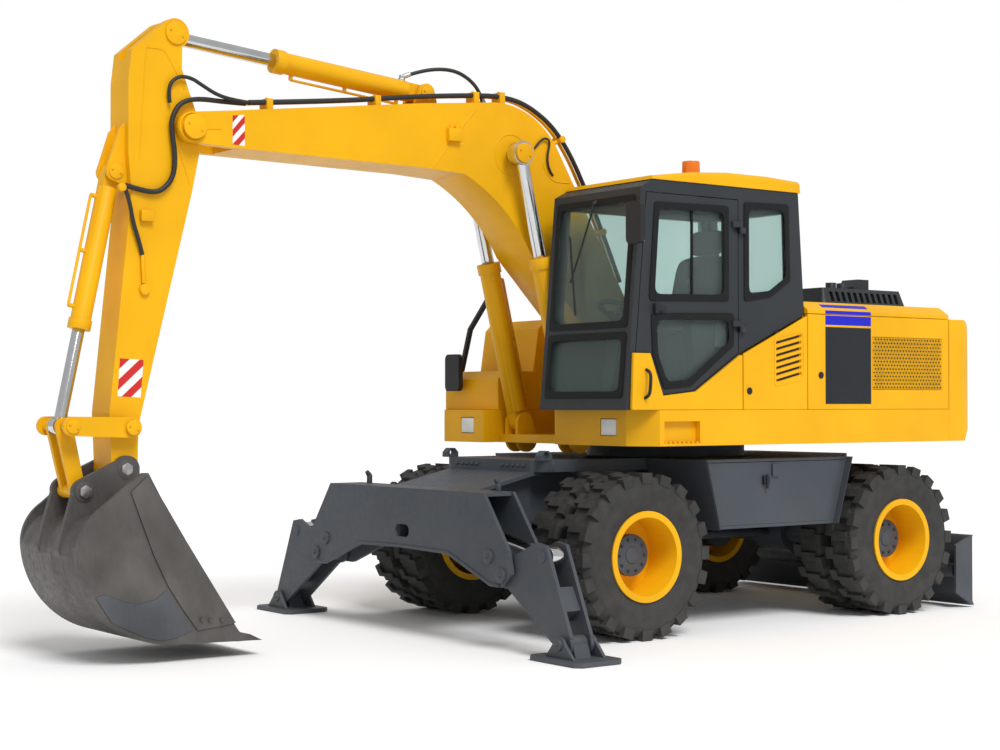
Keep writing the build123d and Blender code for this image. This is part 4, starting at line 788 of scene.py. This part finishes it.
def buildCushion(cushion):
    bm = bmesh.new()
    addSidePlate(bm, cushion["corners"], seat["y"] - cushion["half"], 2 * cushion["half"])
    bmesh.ops.subdivide_edges(bm, edges=bm.edges[:], cuts=seat["cuts"], use_grid_fill=True)
    bmesh.ops.recalc_face_normals(bm, faces=bm.faces)
    for i in range(seat["smoothRounds"]):
        bmesh.ops.smooth_vert(bm, verts=bm.verts[:], factor=seat["smoothing"], use_axis_x=True, use_axis_y=True,
                              use_axis_z=True)
    obj = finishPiece(cushion["name"], bm, seatFabric, "upper")
    crown = obj.modifiers.new("crown", "SUBSURF")
    crown.levels = seat["levels"]
    crown.render_levels = seat["levels"]
    return obj


seatPieces = [buildCushion(cushion) for cushion in seat["cushions"]]
buildParts("seatBase", seatBase, blackPlastic, "upper", 0.012)
for piece in seatPieces:
    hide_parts("seat")
buildParts("controlSticks", controlSticks, blackPlastic, "upper", 0.002)
print("cab dressed")


# Lamps, beacon and mirrors

headlampLenses = {"boxes": [((1282, 1289), (y - 78, y + 78), (1342, 1448)) for y in (870, -760)]}
beaconLens = {"rods": [((560, 900, 3136), (560, 900, 3239), 63, 32, 61)]}
mirrorFaces = {"boxes": [((1190, 1194), (-1118, -962), (1662, 1918)), ((1340, 1344), (1178, 1302), (2612, 2868))]}
buildParts("headlampLenses", headlampLenses, lampLens, "upper", 0.004)
buildParts("beaconLens", beaconLens, amberLens, "upper", 0.004)
buildParts("mirrorFaces", mirrorFaces, mirrorFace, "upper", 0.001)
print("lamps and mirrors dressed")


# Doors: perforated grilles over a dark back that is painted shade, the louvre's frame round a dark plate that is
# painted shade, locks, and the step's tread

grille = {"x": (-1676, -908), "z": (1658, 2036), "columns": 24, "rows": 14, "rim": 7.0, "face": 1240.5,
          "depth": 3.5, "back": (1237.2, 1238.4)}
louvreShadeBack = {"boxes": [((-165, 68), (1224, 1227), (1712, 2060))]}
louvreFrame = {"face": 1245.2, "reach": (0, 3, 0), "widths": (0, 10),
               "outline": [(100, 1668), (100, 2012), (-198, 2076), (-198, 1722)]}
locks = [{"name": "rearDoorLock", "body": "left_rear_door", "spot": (-366, 1755)},
         {"name": "midDoorLock", "body": "left_mid_door", "spot": (340, 1640)}]
lockLook = {"face": (1244, 1252), "radius": 24, "keyFace": (1250, 1255), "keyHalf": (4, 14)}
stepTread = {"boxes": [((x, x + 18), (1222, 1246), (1288, 1300)) for x in range(815, 1096, 40)]}


# Rows of cells shifted by half a cell against each other, with a hole in each
def buildGrille(side, hand):
    (left, right), (bottom, top) = grille["x"], grille["z"]
    # A dark sheet just behind the holes: painted shade of the space behind the grille
    back = {"boxes": [(grille["x"], [hand * y for y in grille["back"]], grille["z"])]}
    buildParts(side + "GrilleShadeBack", back, bandPaintAndShade, side + "_rear_door")
    wide = (right - left) / grille["columns"]
    tall = (top - bottom) / grille["rows"]
    bm = bmesh.new()
    cells = []
    for row in range(grille["rows"]):
        z = bottom + row * tall
        for column in range(-1, grille["columns"] + 1):
            start = left + (column + row % 2 / 2) * wide
            low, high = max(left, start), min(right, start + wide)
            if high - low > wide / 4:
                corners = ((low, z), (high, z), (high, z + tall), (low, z + tall))
                cells.append(bm.faces.new([bm.verts.new(at(x, hand * grille["face"], v)) for x, v in corners]))
    bm.normal_update()
    bmesh.ops.inset_individual(bm, faces=cells, thickness=grille["rim"] / 1000, use_even_offset=True)
    bmesh.ops.delete(bm, geom=cells, context="FACES_ONLY")
    extrudeBy(bm, bm.faces[:], Vector((0, hand * grille["depth"] / 1000, 0)))
    finishPiece(side + "Grille", bm, yellowPaint, side + "_rear_door")


def louvrePlace(u, v):
    return at(u, louvreFrame["face"], v)


def buildLock(lock):
    x, z = lock["spot"]
    inner, outer = lockLook["face"]
    wide, tall = lockLook["keyHalf"]
    bm = bmesh.new()
    addRod(bm, at(x, inner, z), at(x, outer, z), lockLook["radius"], 24)
    addBox(bm, (x - wide, x + wide), lockLook["keyFace"], (z - tall, z + tall))
    finishPiece(lock["name"], bm, blackPlastic, lock["body"], 0.002)


for side, hand in sides:
    buildGrille(side, hand)
# A dark plate inside the louvre's frame: painted shade of the louvre's opening
buildParts("louvreShadeBack", louvreShadeBack, bandPaintAndShade, "left_mid_door")
buildRing("louvreFrame", louvreFrame["outline"], louvrePlace, louvreFrame["reach"], louvreFrame["widths"],
          yellowPaint, "left_mid_door")
for lock in locks:
    buildLock(lock)
buildParts("stepTread", stepTread, yellowPaint, "upper", 0.002)
print("doors dressed")


# Chassis: pins, bolts and trim, the outriggers' pins and ears, the blade's edge bolts and the lid's latch

beamFaces = ((2375, 1), (2115, -1))  # front and rear face of the beam, and which way each looks
beamPins = {"spots": ((1122, 480), (990, 590)), "radius": 46, "sink": 2, "proud": 14, "boltSize": 14}
frameBolts = {"x": 1642, "z": 1130, "start": 150, "step": 60, "count": 5, "size": 12}
legPins = {"faces": ((2335, 1), (2155, -1)), "spot": (1480, 618), "radius": 40, "sink": 2, "proud": 6}
padEars = {"faces": ((2352, 1), (2138, -1)), "thickness": 22, "pin": (1697, 110), "pinRadius": 36,
           "pinReach": (20, 36), "boltSize": 11,
           "outline": [(1567, 30), (1837, 30), (1750, 120), (1737, 142), (1715, 154), (1690, 156), (1668, 148),
                       (1650, 128)]}
beamTrim = {"thickness": 7, "outline": [(0, 585), (535, 575), (1010, 405), (1110, 405), (1104, 427), (1015, 427),
                                        (540, 597), (0, 607)],
            "hookY": 775, "hook": [((2140, 980), (2140, 1046), 20, 16), ((2140, 1040), (2165, 1072), 20, 16, 14)]}
bladeBolts = {"x": -2030, "z": 60, "start": -1140, "step": 190, "count": 13, "size": 16, "out": (-1, 0, 0.05)}
lidLatch = {"boxes": [((70, 126), (1149, 1172), (990, 1050)), ((88, 108), (1170, 1182), (960, 1060))]}


# A flat outline in y and z on a face that looks forwards or back, mirrored by hand
def addCrossPlate(bm, points, x, hand, reach):
    addPlate(bm, [at(x, hand * y, z) for y, z in points], Vector((reach / 1000, 0, 0)))


def buildChassisBolts():
    bm = bmesh.new()
    for hand in (-1, 1):
        for y, z in beamPins["spots"]:
            for face, out in beamFaces:
                head = at(face + beamPins["proud"] * out, hand * y, z)
                addRod(bm, at(face - beamPins["sink"] * out, hand * y, z), head, beamPins["radius"], 28)
                addBolt(bm, head, (out, 0, 0), beamPins["boltSize"])
        for i in range(frameBolts["count"]):
            y = hand * (frameBolts["start"] + i * frameBolts["step"])
            addBolt(bm, at(frameBolts["x"], y, frameBolts["z"]), (1, 0, 0), frameBolts["size"])
    finishPiece("chassisBolts", bm, slatePaint, "chassis", 0.002)


def buildOutriggerTrim(side, hand):
    bm = bmesh.new()
    y, z = legPins["spot"]
    for face, out in legPins["faces"]:
        addRod(bm, at(face - legPins["sink"] * out, hand * y, z), at(face + legPins["proud"] * out, hand * y, z),
               legPins["radius"], 28)
    finishPiece(side + "LegPins", bm, slatePaint, f"{side}_outrigger_leg", 0.002)
    bm = bmesh.new()
    y, z = padEars["pin"]
    for face, out in padEars["faces"]:
        addCrossPlate(bm, padEars["outline"], face, hand, out * padEars["thickness"])
        root, head = [at(face + reach * out, hand * y, z) for reach in padEars["pinReach"]]
        addRod(bm, root, head, padEars["pinRadius"], 28)
        addBolt(bm, head, (out, 0, 0), padEars["boltSize"])
    finishPiece(side + "PadEars", bm, slatePaint, f"{side}_outrigger_pad", 0.003)


def buildBeamTrim():
    bm = bmesh.new()
    for hand in (-1, 1):
        for face, out in beamFaces:
            addCrossPlate(bm, beamTrim["outline"], face, hand, out * beamTrim["thickness"])
        y = hand * beamTrim["hookY"]
        for (x0, z0), (x1, z1), *size in beamTrim["hook"]:
            addRod(bm, at(x0, y, z0), at(x1, y, z1), *size)
    finishPiece("beamTrim", bm, slatePaint, "chassis", 0.002)


def buildBladeBolts():
    bm = bmesh.new()
    for i in range(bladeBolts["count"]):
        spot = at(bladeBolts["x"], bladeBolts["start"] + i * bladeBolts["step"], bladeBolts["z"])
        addBolt(bm, spot, bladeBolts["out"], bladeBolts["size"])
    finishPiece("bladeEdgeBolts", bm, castIron, "blade")


buildChassisBolts()
for side, hand in sides:
    buildOutriggerTrim(side, hand)
buildBeamTrim()
buildBladeBolts()
buildParts("lidLatch", lidLatch, blackPlastic, "toolbox_lid", 0.004)
print("chassis dressed")


# Bucket: cutting edge, side cutters with their bolts, side wear plates and strips below

bucketEdge = {"half": 448, "outline": [(3622, 97), (3800, 98), (3800, 136), (3700, 136)]}
bucketSides = {
    "half": 450, "cutterDepth": 12, "wearDepth": 7, "boltSize": 14,
    "bolts": [(4040, 250), (3985, 242), (3905, 240)],
    "cutter": [(4396, 1122), (3806, 214), (4062, 186), (4160, 316), (4262, 470), (4354, 656), (4500, 1030)],
    "wear": [(4720, 424), (4664, 440), (4533, 385), (4442, 368), (4339, 388), (4268, 440), (4095, 190),
             (4210, 152), (4304, 144), (4396, 168), (4615, 268)],
}
wearStrips = {"ys": (-380, -130, 120), "half": 40,
              "outline": [(4000, 103), (4205, 104), (4205, 112), (4000, 112)]}


def buildBucketEdge():
    bm = bmesh.new()
    addSidePlate(bm, bucketEdge["outline"], armY - bucketEdge["half"], 2 * bucketEdge["half"])
    finishPiece("bucketEdge", bm, wornSteel, "bucket", 0.003)


def buildBucketSides():
    cutters, wear, bolts = bmesh.new(), bmesh.new(), bmesh.new()
    for hand in (-1, 1):
        y = armY + hand * bucketSides["half"]
        addSidePlate(cutters, bucketSides["cutter"], y, hand * bucketSides["cutterDepth"])
        addSidePlate(wear, bucketSides["wear"], y, hand * bucketSides["wearDepth"])
        for x, z in bucketSides["bolts"]:
            addBolt(bolts, at(x, y + hand * bucketSides["cutterDepth"], z), (0, hand, 0), bucketSides["boltSize"])
    finishPiece("bucketSideCutters", cutters, wornSteel, "bucket", 0.003)
    finishPiece("bucketSideWear", wear, wearSteel, "bucket", 0.002)
    finishPiece("bucketBolts", bolts, wornSteel, "bucket")


def buildWearStrips():
    bm = bmesh.new()
    for y in wearStrips["ys"]:
        addSidePlate(bm, wearStrips["outline"], y - wearStrips["half"], 2 * wearStrips["half"])
    finishPiece("bucketWearStrips", bm, wornSteel, "bucket", 0.002)


buildBucketEdge()
buildBucketSides()
buildWearStrips()
print("bucket dressed")


# Floor, light and camera

stage = {"floorSize": 60, "floorDrop": 0.001, "sky": 0.56, "backdrop": 1.0, "sunPower": 2.3, "sunAngle": 25,
         "sunFrom": (0.12, 0.66, 0.75)}
photoCamera = {"place": (9050, 10109, 1544), "yaw": 53.427, "pitch": 0.963, "roll": -0.048,
               "focalPixels": 1791.65, "imagePixels": 1000, "sensor": 36}


def buildFloor():
    bm = bmesh.new()
    bmesh.ops.create_grid(bm, x_segments=1, y_segments=1, size=stage["floorSize"])
    mesh = bpy.data.meshes.new("floor")
    bm.to_mesh(mesh)
    bm.free()
    floor = bpy.data.objects.new("floor", mesh)
    scene.collection.objects.link(floor)
    floor.location.z = cadBox[0][2] - stage["floorDrop"]
    mat, tree, shader, coords = newFinish("floorPale", 0.95, Specular_IOR_Level=0.0)
    shade = rampNode(tree, noiseNode(tree, coords, 0.3), [(0.3, (0.97, 0.97, 0.97)), (0.7, (0.98, 0.98, 0.98))])
    tree.links.new(shade, shader.inputs["Base Color"])
    mesh.materials.append(mat)


# White where it is seen, directly or through glass, and dimmer as a light
def buildSky():
    world = bpy.data.worlds.new("studio")
    scene.world = world
    world.use_nodes = True
    tree = world.node_tree
    back = tree.nodes["Background"]
    back.inputs["Color"].default_value = (1, 1, 1, 1)
    path = tree.nodes.new("ShaderNodeLightPath")
    seen = tree.nodes.new("ShaderNodeMath")
    seen.operation = "MAXIMUM"
    tree.links.new(path.outputs["Is Camera Ray"], seen.inputs[0])
    tree.links.new(path.outputs["Is Transmission Ray"], seen.inputs[1])
    strength = rangeNode(tree, seen.outputs["Value"], stage["sky"], stage["backdrop"], 0.0, 1.0)
    tree.links.new(strength, back.inputs["Strength"])


def buildSun():
    sun = bpy.data.lights.new("studioSun", "SUN")
    sun.energy = stage["sunPower"]
    sun.angle = radians(stage["sunAngle"])
    lamp = bpy.data.objects.new("studioSun", sun)
    lamp.rotation_euler = Vector(stage["sunFrom"]).to_track_quat("Z", "Y").to_euler()
    scene.collection.objects.link(lamp)


def buildCamera():
    yaw, pitch = radians(photoCamera["yaw"]), radians(photoCamera["pitch"])
    look = Vector((-cos(yaw) * cos(pitch), -sin(yaw) * cos(pitch), sin(pitch)))
    lens = bpy.data.cameras.new("photoCamera")
    lens.sensor_width = photoCamera["sensor"]
    lens.lens = photoCamera["focalPixels"] * photoCamera["sensor"] / photoCamera["imagePixels"]
    cam = bpy.data.objects.new("photoCamera", lens)
    turn = look.to_track_quat("-Z", "Y").to_matrix() @ Matrix.Rotation(radians(photoCamera["roll"]), 3, "Z")
    cam.matrix_world = Matrix.Translation(at(*photoCamera["place"])) @ turn.to_4x4()
    scene.collection.objects.link(cam)
    scene.camera = cam


buildFloor()
buildSky()
buildSun()
buildCamera()
print("stage and camera set")
